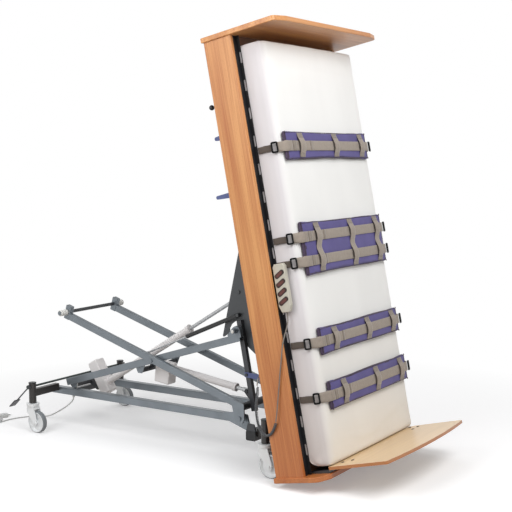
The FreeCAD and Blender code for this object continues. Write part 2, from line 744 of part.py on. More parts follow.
hang_tube = cyl_y(lift_hang, lift_hang_r, -b_in, b_in)
hang_tube = hang_tube.cut(cyl_y(lift_hang, lift_hang_r - wall, -b_in - wall, b_in + wall))
hdir = along(lift_hang, lift_back)
hlen = reach(lift_hang, lift_back)
for k in (-1, 1):
    yk = lift_y + k * (eye_half + lug_gap + lug_t / 2)
    lug = box(lift_hang_r - wall / 2, hlen, yk - lug_t / 2, yk + lug_t / 2, -eye_r * 0.8, eye_r * 0.8)
    lug = add(lug, Part.makeCylinder(eye_r * 0.8, lug_t, V(hlen, yk - lug_t / 2, 0), V(0, 1, 0)))
    hang_tube = add(hang_tube, at(lug, lift_hang, hdir))
lift_pin = cyl_y(lift_back, eye_pin_r, lift_y - eye_half - lug_gap - lug_t - bolt_h,
                 lift_y + eye_half + lug_gap + lug_t + bolt_h)
save("inner_arm_cross_tubes", low_axle, add(hang_tube, lift_pin).removeSplitter())


# a linear actuator: motor housing with tube on one side, rod and eye on the other
def actuator(y, n, tube_r, t0, t1, rod_r, m_along, m_across, collar_r_, collar_l):
    eye = Part.makeCylinder(eye_r, eye_half * 2, V(0, y - eye_half, 0), V(0, 1, 0))
    neck = box(0, m_along[0] + wall, y - eye_half, y + eye_half, -eye_r * 0.7, eye_r * 0.7)
    house = soft_box(m_along[0], m_along[1], y - motor_w / 2, y + motor_w / 2, m_across[0], m_across[1],
                     soft_edge * 3)
    throat = Part.makeCylinder(tube_r + wall * 2, t0 - m_along[1] + wall * 3, V(m_along[1] - wall, y, 0), V(1, 0, 0))
    tube = Part.makeCylinder(tube_r, t1 - t0, V(t0, y, 0), V(1, 0, 0))
    collar = Part.makeCylinder(collar_r_, collar_l, V(t1 - collar_l, y, 0), V(1, 0, 0))
    body = add(add(eye, neck), house)
    body = add(add(body, throat), tube)
    body = add(body, collar)
    body = body.cut(Part.makeCylinder(eye_pin_r + run_clear, eye_half * 4, V(0, y - eye_half * 2, 0), V(0, 1, 0)))
    body = body.cut(Part.makeCylinder(rod_r + run_clear, n, V(t0 + wall, y, 0), V(1, 0, 0)))
    rod_start = t0 + (t1 - t0) * rod_in_share
    rod = Part.makeCylinder(rod_r, n - rod_start - eye_r / 2, V(rod_start, y, 0), V(1, 0, 0))
    end = Part.makeCylinder(eye_r, eye_half * 2, V(n, y - eye_half, 0), V(0, 1, 0))
    shank = Part.makeCylinder(rod_r + wall, eye_r * 1.6, V(n - eye_r * 2, y, 0), V(1, 0, 0))
    rod = add(add(rod, shank), end).removeSplitter()
    return body.removeSplitter(), rod


tilt_n = reach(tilt_back, tilt_front)
tb, tr = actuator(0, tilt_n, tilt_tube_r, tilt_tube_start, tilt_tube_end, tilt_rod_r, motor_along, motor_across,
                  tilt_collar_r, tilt_collar_l)
save("tilt_actuator_housing", at(tb, tilt_back, along(tilt_back, tilt_front)))
save("tilt_actuator_rod", at(tr, tilt_back, along(tilt_back, tilt_front)))
lift_n = reach(lift_back, lift_front)
lb, lr = actuator(lift_y, lift_n, lift_tube_r, lift_along[1] + wall, lift_tube_end, lift_rod_r, lift_along,
                  lift_across, lift_tube_r + wall, tilt_collar_l)
save("lift_actuator_housing", at(lb, lift_back, along(lift_back, lift_front)))
save("lift_actuator_rod", at(lr, lift_back, along(lift_back, lift_front)))

# gas spring, cylinder at the bed end
gas_n = reach(gas_high, gas_low)
gas_dir = along(gas_high, gas_low)
gc = Part.makeCylinder(gas_r, gas_cyl_l - gas_eye_r, V(gas_eye_r, gas_y, 0), V(1, 0, 0))
gc = gc.makeFillet(soft_edge, [gc.Edges[0], gc.Edges[2]])
ge = Part.makeCylinder(gas_eye_r, gas_eye_half * 2, V(0, gas_y - gas_eye_half, 0), V(0, 1, 0))
gn = Part.makeCylinder(gas_rod_r * 1.4, gas_eye_r * 2, V(0, gas_y, 0), V(1, 0, 0))
gc = add(add(gc, ge), gn)
gc = gc.cut(Part.makeCylinder(gas_pin_r + run_clear, gas_r * 4, V(0, gas_y - gas_r * 2, 0), V(0, 1, 0)))
gc = gc.cut(Part.makeCylinder(gas_rod_r + run_clear, gas_n, V(gas_eye_r * 3, gas_y, 0), V(1, 0, 0)))
save("gas_spring_cylinder", at(gc.removeSplitter(), gas_high, gas_dir))
gr_start = gas_cyl_l * 0.5
gr = Part.makeCylinder(gas_rod_r, gas_n - gr_start - gas_eye_r / 2, V(gr_start, gas_y, 0), V(1, 0, 0))
gr = add(gr, Part.makeCylinder(gas_eye_r * 0.8, gas_eye_half * 2, V(gas_n, gas_y - gas_eye_half, 0), V(0, 1, 0)))
save("gas_spring_rod", at(gr.removeSplitter(), gas_high, gas_dir))

# brake rod through the rear sockets, with its pedal
hexa = Part.makePolygon([V(brake_af / math.sqrt(3) * math.cos(math.radians(60 * k)), -brake_half,
                           brake_af / math.sqrt(3) * math.sin(math.radians(60 * k))) for k in range(7)])
rod = Part.Face(hexa).extrude(V(0, brake_half * 2, 0))
rod.translate(V(axle_x_rear, 0, brake_z))
save("brake_rod", rod)
hub = cyl_y((0, 0), brake_hub_r, -pedal_y - brake_hub_l / 2, -pedal_y + brake_hub_l / 2)
keep = Part.Face(hexa).extrude(V(0, brake_half * 2, 0))
arm = Part.makeCylinder(pedal_arm_r, pedal_arm_l, V(-brake_hub_r / 2, -pedal_y, 0), V(-1, 0, 0))
tread = soft_box(-pedal_arm_l - pedal_l, -pedal_arm_l, -pedal_y - pedal_w / 2, -pedal_y + pedal_w / 2,
                 -pedal_t / 2, pedal_t / 2, soft_edge)
ped = at(add(add(hub, arm), tread), (axle_x_rear, brake_z), pedal_drop)
keep.translate(V(axle_x_rear, 0, brake_z))
ped = ped.cut(keep).removeSplitter()
save("brake_pedal", ped)

# bed: boards and panels
board = box(-bed_l, 0, half_w - board_t, half_w, 0, board_h)
board = board.makeFillet(panel_edge_r, [e for e in board.Edges if abs(e.Length - bed_l) < clear])
save("side_boards", bed(board), bed(mirror(board)))


def end_panel(x0, x1, reach_, deep, wide):
    h = half_w + panel_over
    pts = [V(x0, -h, -panel_over), V(x0, h, -panel_over), V(x0, h, reach_ - deep), V(x0, h - wide, reach_),
           V(x0, -h + wide, reach_), V(x0, -h, reach_ - deep)]
    p = Part.Face(Part.makePolygon(pts + [pts[0]])).extrude(V(x1 - x0, 0, 0))
    short = [e for e in p.Edges if abs(e.Length - (x1 - x0)) < clear and e.CenterOfMass.z > 0]
    p = p.makeFillet(deep, short)
    rim = [e for e in p.Edges if abs(e.BoundBox.XLength) < clear]
    return p.makeFillet(panel_edge_r, rim)


save("head_panel", bed(end_panel(-bed_l - panel_t, -bed_l, head_reach, corner_deep, corner_wide)))
save("foot_panel", bed(end_panel(0, panel_t, foot_reach, foot_corner_deep, foot_corner_wide)))

# bed frame and deck
ftl = bed_l
ft = box(-ftl, 0, frame_tube_y, frame_tube_y + frame_tube_w, frame_low, frame_low + frame_tube_h)
ft = ft.makeFillet(soft_edge, [e for e in ft.Edges if abs(e.Length - ftl) < clear])
ft = ft.cut(box(-ftl - wall, wall, frame_tube_y + wall, frame_tube_y + frame_tube_w - wall, frame_low + wall,
                frame_low + frame_tube_h - wall))
save("bed_frame_tubes", bed(ft), bed(mirror(ft)))
crosses = []
for s in cross_places:
    c = box(-s - cross_d / 2, -s + cross_d / 2, -frame_tube_y, frame_tube_y, frame_low, frame_low + cross_h)
    crosses.append(bed(c.makeFillet(soft_edge, [e for e in c.Edges if abs(e.Length - frame_tube_y * 2) < clear])))
posts = []
for s in cross_places:
    for yk in (-frame_tube_y * 0.6, 0, frame_tube_y * 0.6):
        posts.append(bed(box(-s - cross_d / 2, -s + cross_d / 2, yk - cross_d / 2, yk + cross_d / 2,
                             frame_low + cross_h, deck_top - deck_t)))
save("bed_cross_tubes", *(crosses + posts))
deck = box(-bed_l + clear, -clear, -deck_half, deck_half, deck_top - deck_t, deck_top)
save("deck_panel", bed(deck))

edges = []
for sy in (-1, 1):
    y0 = deck_half + seat_gap
    flange = box(-bed_l + clear, -clear, y0, half_w - board_t - seat_gap, deck_top - deck_t, deck_top)
    lip = box(-bed_l + clear, -clear, y0, y0 + edge_lip_t, deck_top, deck_top + edge_lip_h)
    for k in range(slot_count):
        s = slot_first + slot_pitch * k
        cutter = box(-s - slot_l / 2, -s + slot_l / 2, y0 - wall, y0 + edge_lip_t + wall, deck_top + slot_up,
                     deck_top + slot_up + slot_h)
        lip = lip.cut(cutter.makeFillet(slot_h * 0.45, upright_edges(cutter)))
    foot_l = box(-bed_l + clear, -clear, frame_tube_y + clear, frame_tube_y + frame_tube_w - clear,
                 frame_low + frame_tube_h, deck_top - deck_t)
    e = add(add(flange, lip), foot_l).removeSplitter()
    edges.append(bed(e if sy > 0 else mirror(e)))
save("slotted_deck_edges", *edges)

# tapered gussets, bars and cross box behind the deck
pin_bed = to_bed(tilt_front)
piv_bed = to_bed(b_up)
gas_bed = to_bed(gas_high)
gus = []
for sy in (-1, 1):
    g = round_slab([(-s, w) for s, w in gusset_outline], gusset_y, gusset_y + gusset_t, soft_edge * 2)
    for s in cross_places:
        g = g.cut(box(-s - cross_d / 2 - clear, -s + cross_d / 2 + clear, 0, half_w, frame_low - clear, frame_low + cross_h))
    stub = cyl_y(pin_bed, tilt_pin_r, eye_half + lug_gap, gusset_y + gusset_t + bolt_h)
    flange = cyl_y(pin_bed, tilt_pin_r + wall * 2, gusset_y - bolt_h, gusset_y)
    hd = cyl_y(pin_bed, bolt_r * 0.7, gusset_y + gusset_t, gusset_y + gusset_t + bolt_h / 2)
    g = add(add(g, stub), flange)
    if sy < 0:
        gp = cyl_y(gas_bed, gas_pin_r, gusset_y, -gas_y + gas_eye_half + bolt_h)
        gw = cyl_y(gas_bed, gas_pin_r + wall, gusset_y, -gas_y - gas_eye_half - seat_gap)
        gh = cyl_y(gas_bed, gas_pin_r + wall, -gas_y + gas_eye_half + seat_gap, -gas_y + gas_eye_half + bolt_h)
        g = add(add(g, gp), gw)
        g = add(g, gh)
    g = g.removeSplitter()
    gus.append(bed(g if sy > 0 else mirror(g)))
save("tilt_gussets", *gus)

bars = []
for sy in (-1, 1):
    b0, b1 = bar_y - bar_w / 2, bar_y + bar_w / 2
    br = soft_box(-bar_high_s, -bar_low_s, b0, b1, bar_depth - bar_d / 2, bar_depth + bar_d / 2, soft_edge)
    br = br.cut(cyl_y(piv_bed, tilt_pin_r + run_clear, 0, half_w))
    bars.append(bed(br if sy > 0 else mirror(br)))
bx = box(-box_high_s, -box_low_s, -gusset_y, gusset_y, bar_depth + bar_d / 2 - box_d, bar_depth + bar_d / 2)
bx = bx.makeFillet(soft_edge, [e for e in bx.Edges if abs(e.Length - gusset_y * 2) < clear])
save("hinge_frame", bed(bx), *bars)
print("pin", pin_bed, "pivot", piv_bed, "gas", gas_bed)


# mattress section and the crown that pads and straps follow
crown_half = mat_half - mat_shoulder
crown_r = (crown_half ** 2 + mat_crown ** 2) / (2 * mat_crown)
crown_z = mat_high + mat_crown - crown_r


def crown_at(y, lift):
    return crown_z + math.sqrt((crown_r + lift) ** 2 - y * y)


def arc(p, q, r):
    return Part.Arc(p, q, r).toShape()


def mattress():
    k = math.sqrt(0.5)
    top = mat_high
    ys = mat_half
    r, f = mat_shoulder, mat_foot_r
    lo = mat_low
    zs = top - r
    p = lambda y, z: V(-mat_start, y, z)
    e = [arc(p(-ys + r, top), p(0, top + mat_crown), p(ys - r, top)),
         arc(p(ys - r, top), p(ys - r + r * k, zs + r * k), p(ys, zs)),
         arc(p(ys, zs), p(ys + mat_side_bulge, (zs + lo + f) / 2), p(ys, lo + f)),
         arc(p(ys, lo + f), p(ys - f + f * k, lo + f - f * k), p(ys - f, lo)),
         Part.makeLine(p(ys - f, lo), p(-ys + f, lo)),
         arc(p(-ys + f, lo), p(-ys + f - f * k, lo + f - f * k), p(-ys, lo + f)),
         arc(p(-ys, lo + f), p(-ys - mat_side_bulge, (zs + lo + f) / 2), p(-ys, zs)),
         arc(p(-ys, zs), p(-ys + r - r * k, zs + r * k), p(-ys + r, top))]
    m = Part.Face(Part.Wire(e)).extrude(V(-mat_l, 0, 0))
    rim = [x for x in m.Edges if x.BoundBox.XLength < clear]
    return m.makeFillet(mat_end_r, rim)


save("mattress", bed(mattress()))


def pad_shape(s0, s1, y0, y1):
    low, high = seat_gap, pad_t
    p = lambda y, z: V(-s0, y, z)
    ym = (y0 + y1) / 2
    e = [arc(p(y0, crown_at(y0, low)), p(ym, crown_at(ym, low)), p(y1, crown_at(y1, low))),
         Part.makeLine(p(y1, crown_at(y1, low)), p(y1, crown_at(y1, high))),
         arc(p(y1, crown_at(y1, high)), p(ym, crown_at(ym, high)), p(y0, crown_at(y0, high))),
         Part.makeLine(p(y0, crown_at(y0, high)), p(y0, crown_at(y0, low)))]
    m = Part.Face(Part.Wire(e)).extrude(V(-(s1 - s0), 0, 0))
    return m.makeFillet(pad_edge, m.Edges)


save("strap_pads", *[bed(pad_shape(s0, s1, y0, y1)) for s0, s1, y0, y1 in pads])


def band(path, lift, t, s, w):
    # ribbon of thickness t laid on a path of y-z points, lifted off it
    n = len(path)
    out, inn = [], []
    for i in range(n):
        a = path[max(i - 1, 0)]
        b = path[min(i + 1, n - 1)]
        dy, dz = b[0] - a[0], b[1] - a[1]
        ln = math.hypot(dy, dz)
        ny, nz = -dz / ln, dy / ln
        inn.append((path[i][0] + ny * lift, path[i][1] + nz * lift))
        out.append((path[i][0] + ny * (lift + t), path[i][1] + nz * (lift + t)))
    pts = [V(-s - w / 2, y, z) for y, z in inn + out[::-1]]
    return Part.Face(Part.makePolygon(pts + [pts[0]])).extrude(V(w, 0, 0))


def web_path():
    # narrow webbing from the deck edge up the near side to the buckle on the shoulder
    side = mat_half + mat_side_bulge + clear
    zs = mat_high - mat_shoulder
    r = mat_shoulder + clear
    pts = [(-side, mat_low + mat_foot_r), (-side, zs - mat_foot_r / 2)]
    for a in (buckle_turn / 3, buckle_turn):
        t = math.radians(a)
        pts.append((-mat_half + mat_shoulder - r * math.cos(t), zs + r * math.sin(t)))
    return pts


def strap_path(y0, y1, high):
    # from the near buckle over the pad, through the far buckle and down
    side = mat_half + mat_side_bulge + clear
    pts = web_path()[-1:]
    r = mat_shoulder + clear
    for a in (13, 26, 38):
        t = math.radians(buckle_turn + a)
        pts.append((-mat_half + mat_shoulder - r * math.cos(t), mat_high - mat_shoulder + r * math.sin(t)))
    pts.append((y0 - pad_edge * 1.2, crown_at(y0, clear * 2)))
    pts.append((y0 - clear, crown_at(y0, high - pad_edge * 0.6)))
    pts.append((y0 + pad_edge * 0.6, crown_at(y0, high)))
    n = 8
    for i in range(1, n):
        y = y0 + (y1 - y0) * i / n
        pts.append((y, crown_at(y, high)))
    edge = crown_at(y1, high)
    pts.append((y1, edge))
    pts.append((y1 + pad_edge + buckle_l, edge - buckle_drop))
    pts.append((y1 + pad_edge + buckle_l + strap_t, edge - buckle_drop * 2))
    pts.append((side + clear * 4, mat_low + mat_foot_r))
    return pts


def buckle_at(y, z, a, s, sy):
    # lies with its underside at y, z and its face turned up by a from Y
    b = box(-s - buckle_w / 2, -s + buckle_w / 2, -buckle_l / 2, buckle_l / 2, 0, buckle_t)
    b = b.makeFillet(soft_edge, [e for e in b.Edges if abs(e.Length - buckle_t) < clear])
    b.rotate(V(0, 0, 0), V(1, 0, 0), a - 90)
    b.translate(V(0, y, z))
    return bed(b if sy > 0 else mirror(b))


def loop_at(yc, s_list, s0, s1):
    # one band of webbing sewn to the pad, arched over each strap
    pts = [(s0 + loop_inset, 0)]
    for s in s_list:
        pts += [(s - strap_w / 2 - clear * 4, loop_rise), (s + strap_w / 2 + clear * 4, loop_rise)]
    if len(s_list) > 1:
        middle = (s_list[0] + s_list[-1]) / 2
        pts = pts[:3] + [(middle - strap_t, 0), (middle + strap_t, 0)] + pts[3:]
    pts.append((s1 - loop_inset, 0))
    base = crown_at(abs(yc) - loop_w / 2, pad_t) + clear
    low = [V(-a, yc - loop_w / 2, base + b) for a, b in pts]
    high = [V(-a, yc - loop_w / 2, base + b + strap_t) for a, b in pts]
    ring = low + high[::-1]
    return Part.Face(Part.makePolygon(ring + [ring[0]])).extrude(V(0, loop_w, 0))


buckles = []
loops = []
straps = []
webs = []
for n, (k, s) in enumerate(strap_places):
    s0, s1, y0, y1 = pads[k]
    straps.append(bed(band(strap_path(y0, y1, pad_t), clear, strap_t, s, strap_w)))
    webs.append(bed(band(web_path(), clear, strap_t, s, web_w)))
    a = math.radians(buckle_turn)
    r = mat_shoulder + clear + strap_t + seat_gap
    buckles.append(buckle_at(mat_half - mat_shoulder + r * math.cos(a) + clear,
                             mat_high - mat_shoulder + r * math.sin(a) + clear * 3, buckle_turn, s, -1))
    slope = math.atan2(buckle_drop, pad_edge + buckle_l)
    up = clear + strap_t + seat_gap
    far = (pad_edge + buckle_l) / 2
    buckles.append(buckle_at(y1 + far + soft_edge + up * math.sin(slope), crown_at(y1, pad_t)
                             - (far + soft_edge) * math.tan(slope) + up * math.cos(slope),
                             90 - math.degrees(slope), s, 1))
for k, (s0, s1, y0, y1) in enumerate(pads):
    held = sorted(s for n, s in strap_places if n == k)
    for sh in loop_shares:
        loops.append(bed(loop_at((y0 + y1) / 2 + sh * (y1 - y0) / 2, held, s0, s1)))
save("strap_buckles", *buckles)
save("pad_straps", *(straps + webs + loops))


# foot plate, risen a little toward its front edge, with countersunk screws just below its face
screw_places = [(-plate_half * 0.82, bracket_w), (plate_half * 0.9, bracket_w * 0.8), (plate_half * 0.9, bracket_w * 2),
                (-bracket_y, bracket_w * 2), (bracket_y, bracket_w * 2)]


def screw(y, z, sunk, grow):
    # a screw's head, or its pocket where it grows by the clearance
    start = V(sunk, y, z)
    return Part.makeCone(plate_screw_r + grow, plate_screw_r / 2 + grow, plate_screw_h + grow * 2, start, V(1, 0, 0))


def foot_plate():
    y, x = plate_half, plate_front - plate_back
    a = V(0, -y, 0)
    b = V(0, y, 0)
    c = V(0, y, x)
    d = V(0, -y, x)
    e = [Part.makeLine(a, b), Part.makeLine(b, c), arc(c, V(0, 0, x + plate_bow), d), Part.makeLine(d, a)]
    p = Part.Face(Part.Wire(e)).extrude(V(plate_t, 0, 0))
    front = [g for g in p.Edges if abs(g.Length - plate_t) < clear]
    p = p.makeFillet(soft_edge * 3, front)
    for y, z in screw_places:
        p = p.cut(screw(y, z, 0, clear))
    return p


def place_plate(shape):
    s = shape.copy()
    s.rotate(V(0, 0, 0), V(0, 1, 0), -plate_rise)
    s.translate(V(-plate_s, 0, plate_back))
    return bed(s)


save("foot_plate", place_plate(foot_plate()))
screws = [place_plate(screw(y, z, clear, 0)) for y, z in screw_places]
# the sill stands against the foot panel, and the plate's arms start from it
sill = bed(box(-sill_t - seat_gap, -seat_gap, -sill_half, sill_half, sill_low, sill_high))
brackets = []
for y in (-bracket_y, 0, bracket_y):
    low = Part.makeBox(bracket_t, bracket_w, bracket_l, V(plate_t, y - bracket_w / 2, 0))
    sill = add(sill, place_plate(low))
plate_room = place_plate(Part.makeBox(plate_t, plate_half * 3, bracket_l * 2, V(0, -plate_half * 1.5, -bracket_l)))
brackets.append(sill.cut(plate_room).removeSplitter())
save("foot_plate_fixings", *(brackets + screws))

# handset with four keys
h0 = [(-hand_s - hand_l, hand_back + hand_crop), (-hand_s - hand_l + hand_taper_l / 2, hand_back),
      (-hand_s - hand_taper_l, hand_back), (-hand_s, hand_back + hand_taper),
      (-hand_s, hand_back + hand_w - hand_taper), (-hand_s - hand_taper_l, hand_back + hand_w),
      (-hand_s - hand_l + hand_taper_l / 2, hand_back + hand_w), (-hand_s - hand_l, hand_back + hand_w - hand_crop)]
hs = slab(h0, hand_y - hand_t / 2, hand_y + hand_t / 2)
hs = hs.makeFillet(soft_edge * 1.5, upright_edges(hs))
rim = [e for e in hs.Edges if e.BoundBox.YLength < clear]
hs = hs.makeFillet(soft_edge * 1.2, rim)
keys = []
mid = hand_back + hand_w / 2
for k in range(4):
    s = hand_s + button_first + button_pitch * k
    fz = hand_y - hand_t / 2
    prof = box(-button_l / 2, button_l / 2, 0, button_h, -button_w / 2, button_w / 2)
    prof = prof.makeFillet(button_w * 0.45, upright_edges(prof))
    hole = box(-button_l / 2 - clear, button_l / 2 + clear, -button_h, button_h + button_travel + clear,
               -button_w / 2 - clear, button_w / 2 + clear)
    hole = hole.makeFillet(button_w * 0.45, upright_edges(hole))
    for q in (prof, hole):
        q.rotate(V(0, 0, 0), V(0, 1, 0), button_turn)
        q.translate(V(-s, fz - button_travel, mid))
    hs = hs.cut(hole)
    keys.append(prof)
save("handset_case", bed(hs))
for k, q in enumerate(keys):
    save("handset_key_" + str(4 - k), bed(q))

# box for the electrics under the deck
ecu = soft_box(-ecu_s - ecu_l, -ecu_s, ecu_y, ecu_y + ecu_w, frame_low - ecu_h - cross_h / 2,
               frame_low, soft_edge * 2)
save("control_box", bed(ecu))


# release levers and knob at the near side behind the board
def lever(s, y, z, length, width, t):
    half, tip = width / 2, width * lever_tip_share / 2
    pts = [(-s - half, z), (-s - half, z - width), (-s - tip, z - length), (-s + tip, z - length),
           (-s + half, z - width), (-s + half, z)]
    p = slab(pts, y - t / 2, y + t / 2)
    p = p.makeFillet(tip * 0.9, upright_edges(p))
    return p


for nm, s, ln in (("upper_release_lever", upper_lever_s, upper_lever_l),
                  ("middle_release_lever", middle_lever_s, middle_lever_l)):
    lv = lever(s, lever_y, lever_top, ln, lever_w, lever_t)
    lv = lv.cut(cyl_y((-s, lever_top - lever_pin_up), lever_pin_r + run_clear, lever_y - lever_t, lever_y + lever_t))
    save(nm, bed(lv))
kn = Part.makeSphere(knob_r, V(-knob_s, lever_y, lever_top - knob_l))
ks = Part.makeCylinder(knob_stem_r, frame_low - lever_top + knob_l - seat_gap, V(-knob_s, lever_y, lever_top - knob_l),
                       V(0, 0, 1))
save("locking_knob", bed(add(kn, ks).removeSplitter()))
pins = []
for s in (upper_lever_s, middle_lever_s):
    p0 = lever_y - lever_t / 2 - wall
    p1 = -frame_tube_y + wall + lever_t
    pn = cyl_y((-s, lever_top - lever_pin_up), lever_pin_r, p0, lever_y + lever_t / 2 + lever_t)
    hb = box(-s - lever_w / 2, -s + lever_w / 2, lever_y + lever_t / 2 + seat_gap, lever_y + lever_t * 1.5,
             lever_top - lever_w, frame_low)
    hd = cyl_y((-s, lever_top - lever_pin_up), lever_pin_r * 1.8, p0, lever_y - lever_t / 2 - seat_gap)
    pins.append(bed(add(add(pn, hb), hd).removeSplitter()))

lvb = box(-low_lever_w / 2, low_lever_l, low_lever_y - low_lever_t, low_lever_y - seat_gap, -low_lever_w / 2,
          low_lever_w / 2)
lvb = lvb.makeFillet(low_lever_t * 0.3, [e for e in lvb.Edges if abs(e.Length - low_lever_w) < clear])
lvb = lvb.cut(cyl_y((0, 0), lever_pin_r + run_clear, low_lever_y * 2, 0))
lvb.rotate(V(0, 0, 0), V(0, 1, 0), -90 + low_lever_rise)
lvb.translate(V(-low_lever_s, 0, low_lever_z + low_lever_w / 2))
save("lower_release_lever", bed(lvb))
lp0 = (-low_lever_s, low_lever_z + low_lever_w / 2)
bolt = cyl_y(lp0, lever_pin_r, low_lever_y - low_lever_t - bolt_h / 2, low_lever_y)
bolt = add(bolt, cyl_y(lp0, lever_pin_r * 2, low_lever_y - low_lever_t - bolt_h, low_lever_y - low_lever_t - seat_gap))
save("lever_brackets", *(pins + [bed(bolt)]))


# cords: straight runs joined by tangent arcs
def unit(v):
    return v * (1 / v.Length)


def route_wire(points):
    n = len(points)
    runs = [(points[i + 1] - points[i]).Length for i in range(n - 1)]
    edges = []
    radii = []
    last = points[0]
    for i in range(1, n - 1):
        a = unit(points[i] - points[i - 1])
        b = unit(points[i + 1] - points[i])
        turn = a.getAngle(b)
        cut = min(runs[i - 1], runs[i]) * 0.45
        radii.append(cut / math.tan(turn / 2))
        p, q = points[i] - a * cut, points[i] + b * cut
        mid = (p + q) * 0.5
        half = (q - p).Length / 2
        rise = points[i] - mid
        k = math.tan(math.atan(rise.Length / half) / 2) * half / rise.Length
        edges.append(Part.makeLine(last, p))
        edges.append(Part.Arc(p, mid + rise * k, q).toShape())
        last = q
    edges.append(Part.makeLine(last, points[-1]))
    return Part.Wire(edges), radii


def tube_on(wire, start, way, r):
    ring = Part.Wire(Part.makeCircle(r, start, way))
    return wire.makePipeShell([ring], True, False)


def cord(name, points, r):
    wire, radii = route_wire(points)
    t = tube_on(wire, points[0], points[1] - points[0], r)
    want = wire.Length * math.pi * r * r
    print(name, "length", round(wire.Length, 1), "least radius", round(min(radii), 1), "widest", round(max(radii)),
          "volume share", round(t.Volume / want, 4))
    return t


def bed_points(route):
    return [V(-a, y, w) for a, w, y in route]


hand_thin = cord("handset cord, thin", bed_points(thin_route), cord_r)
hand_tail = cord("handset cord, tail", bed_points(tail_route), cord_r)
save("handset_cord", bed(hand_thin), bed(hand_tail))
mains = cord("mains lead", [V(*q) for q in mains_route], mains_r)
plug_lead = cord("mains lead, plug end", [V(*q) for q in plug_route], mains_r)
save("mains_lead", mains, plug_lead)


def arc_on(p, way, q):
    # middle point of the arc that leaves p along way and ends at q
    mid = (p + q) * 0.5
    half = (q - p).Length / 2
    turn = way.getAngle(q - p)
    side = way - unit(q - p) * (way * unit(q - p))
    if side.Length < run_clear / 1000:
        return mid
    return mid + unit(side) * (half * math.tan(turn / 2))


def biarc(p, a, q, b):
    # two arcs from p along a to q along b
    v = q - p
    t = a + b
    one = 2 * (1 - a * b)
    vt = v * t
    if one < run_clear / 1000:
        d = (v * v) / (2 * vt)
    else:
        d = (math.sqrt(vt * vt + one * (v * v)) - vt) / one
    m = (p + a * d + q - b * d) * 0.5
    return [Part.Arc(p, arc_on(p, a, m), m).toShape(),
            Part.Arc(m, arc_on(q, b * -1, m), q).toShape()]


def smooth_wire(points, ways):
    edges = []
    for i in range(len(points) - 1):
        edges += biarc(points[i], ways[i], points[i + 1], ways[i + 1])
    return Part.Wire(edges)


def least_gap(points, r, skip):
    # least free distance between turns, for points spaced evenly along a route
    best = skip * r * r
    for i in range(len(points)):
        for j in range(i + skip, len(points)):
            d = (points[i] - points[j]).Length
            if d < best:
                best = d
    return best - 2 * r


# the put-away length of the mains lead: a flat coil in two layers, clockwise from above
coil_centre = V(mains_route[-1][0] - coil_out_r, mains_route[-1][1], 0)
lead_turn = coil_turns * 2 * math.pi
rise_turn = math.pi


def coil_at(a):
    r = coil_out_r - coil_pitch * a / (2 * math.pi)
    z = mains_z
    if a > lead_turn:
        z = mains_z + coil_rise * (1 - math.cos(math.pi * min((a - lead_turn) / rise_turn, 1))) / 2
    if a > lead_turn + rise_turn:
        over = a - lead_turn - rise_turn
        r = coil_out_r - coil_pitch * (coil_turns + 1 / 2)
        first = min(over, 2 * math.pi)
        r = r + coil_growth * first / (2 * math.pi) + coil_pitch * (over - first) / (2 * math.pi)
    return coil_centre + V(r * math.cos(a), -r * math.sin(a), z)


def coil_way(a):
    e = clear / 1000
    return unit(coil_at(a + e) - coil_at(a - e))


quarter = math.pi / 2
coil_n = (coil_turns * 2) * 4 + 2
coil_angles = [quarter * k for k in range(coil_n + 1)]
coil_ways = [coil_way(a) for a in coil_angles]
coil_ways[0] = V(0, -1, 0)
coil_points = [coil_at(a) for a in coil_angles]
coil_wire = smooth_wire(coil_points, coil_ways)
coil = tube_on(coil_wire, coil_points[0], coil_ways[0], mains_r)
spaced = [coil_at(coil_angles[-1] * k / (coil_n * 12)) for k in range(coil_n * 12 + 1)]
print("mains coil length", round(coil_wire.Length, 1), "least gap", round(least_gap(spaced, mains_r, turn_sample_count), 2),
      "volume share", round(coil.Volume / (coil_wire.Length * math.pi * mains_r ** 2), 4))
save("mains_coil", coil)

# the curly stretch of the handset cord: a helix round its route, in a plane across Y
curl_line, curl_radii = route_wire(bed_points(thick_route))
curl_run = curl_line.discretize(Number=curl_sample_count + 1)
curl_turn = curl_count * 2 * math.pi


def curl_place(a):
    # share of the route at turn angle a, with a longer first and last quarter turn
    n = curl_line.Length
    if a < quarter:
        return curl_end * a / quarter / n
    if a > curl_turn - quarter:
        return 1 - curl_end * (curl_turn - a) / quarter / n
    return (curl_end + (n - curl_end * 2) * (a - quarter) / (curl_turn - quarter * 2)) / n


def curl_at(a):
    k = curl_place(a) * (len(curl_run) - 1)
    i = min(int(k), len(curl_run) - 2)
    way = unit(curl_run[i + 1] - curl_run[i])
    p = curl_run[i] + (curl_run[i + 1] - curl_run[i]) * (k - i)
    return p + (V(0, -math.cos(a), 0) + way.cross(V(0, 1, 0)) * math.sin(a)) * curl_r


def curl_way(a):
    e = quarter / 8
    return unit(curl_at(a + e) - curl_at(a - e))


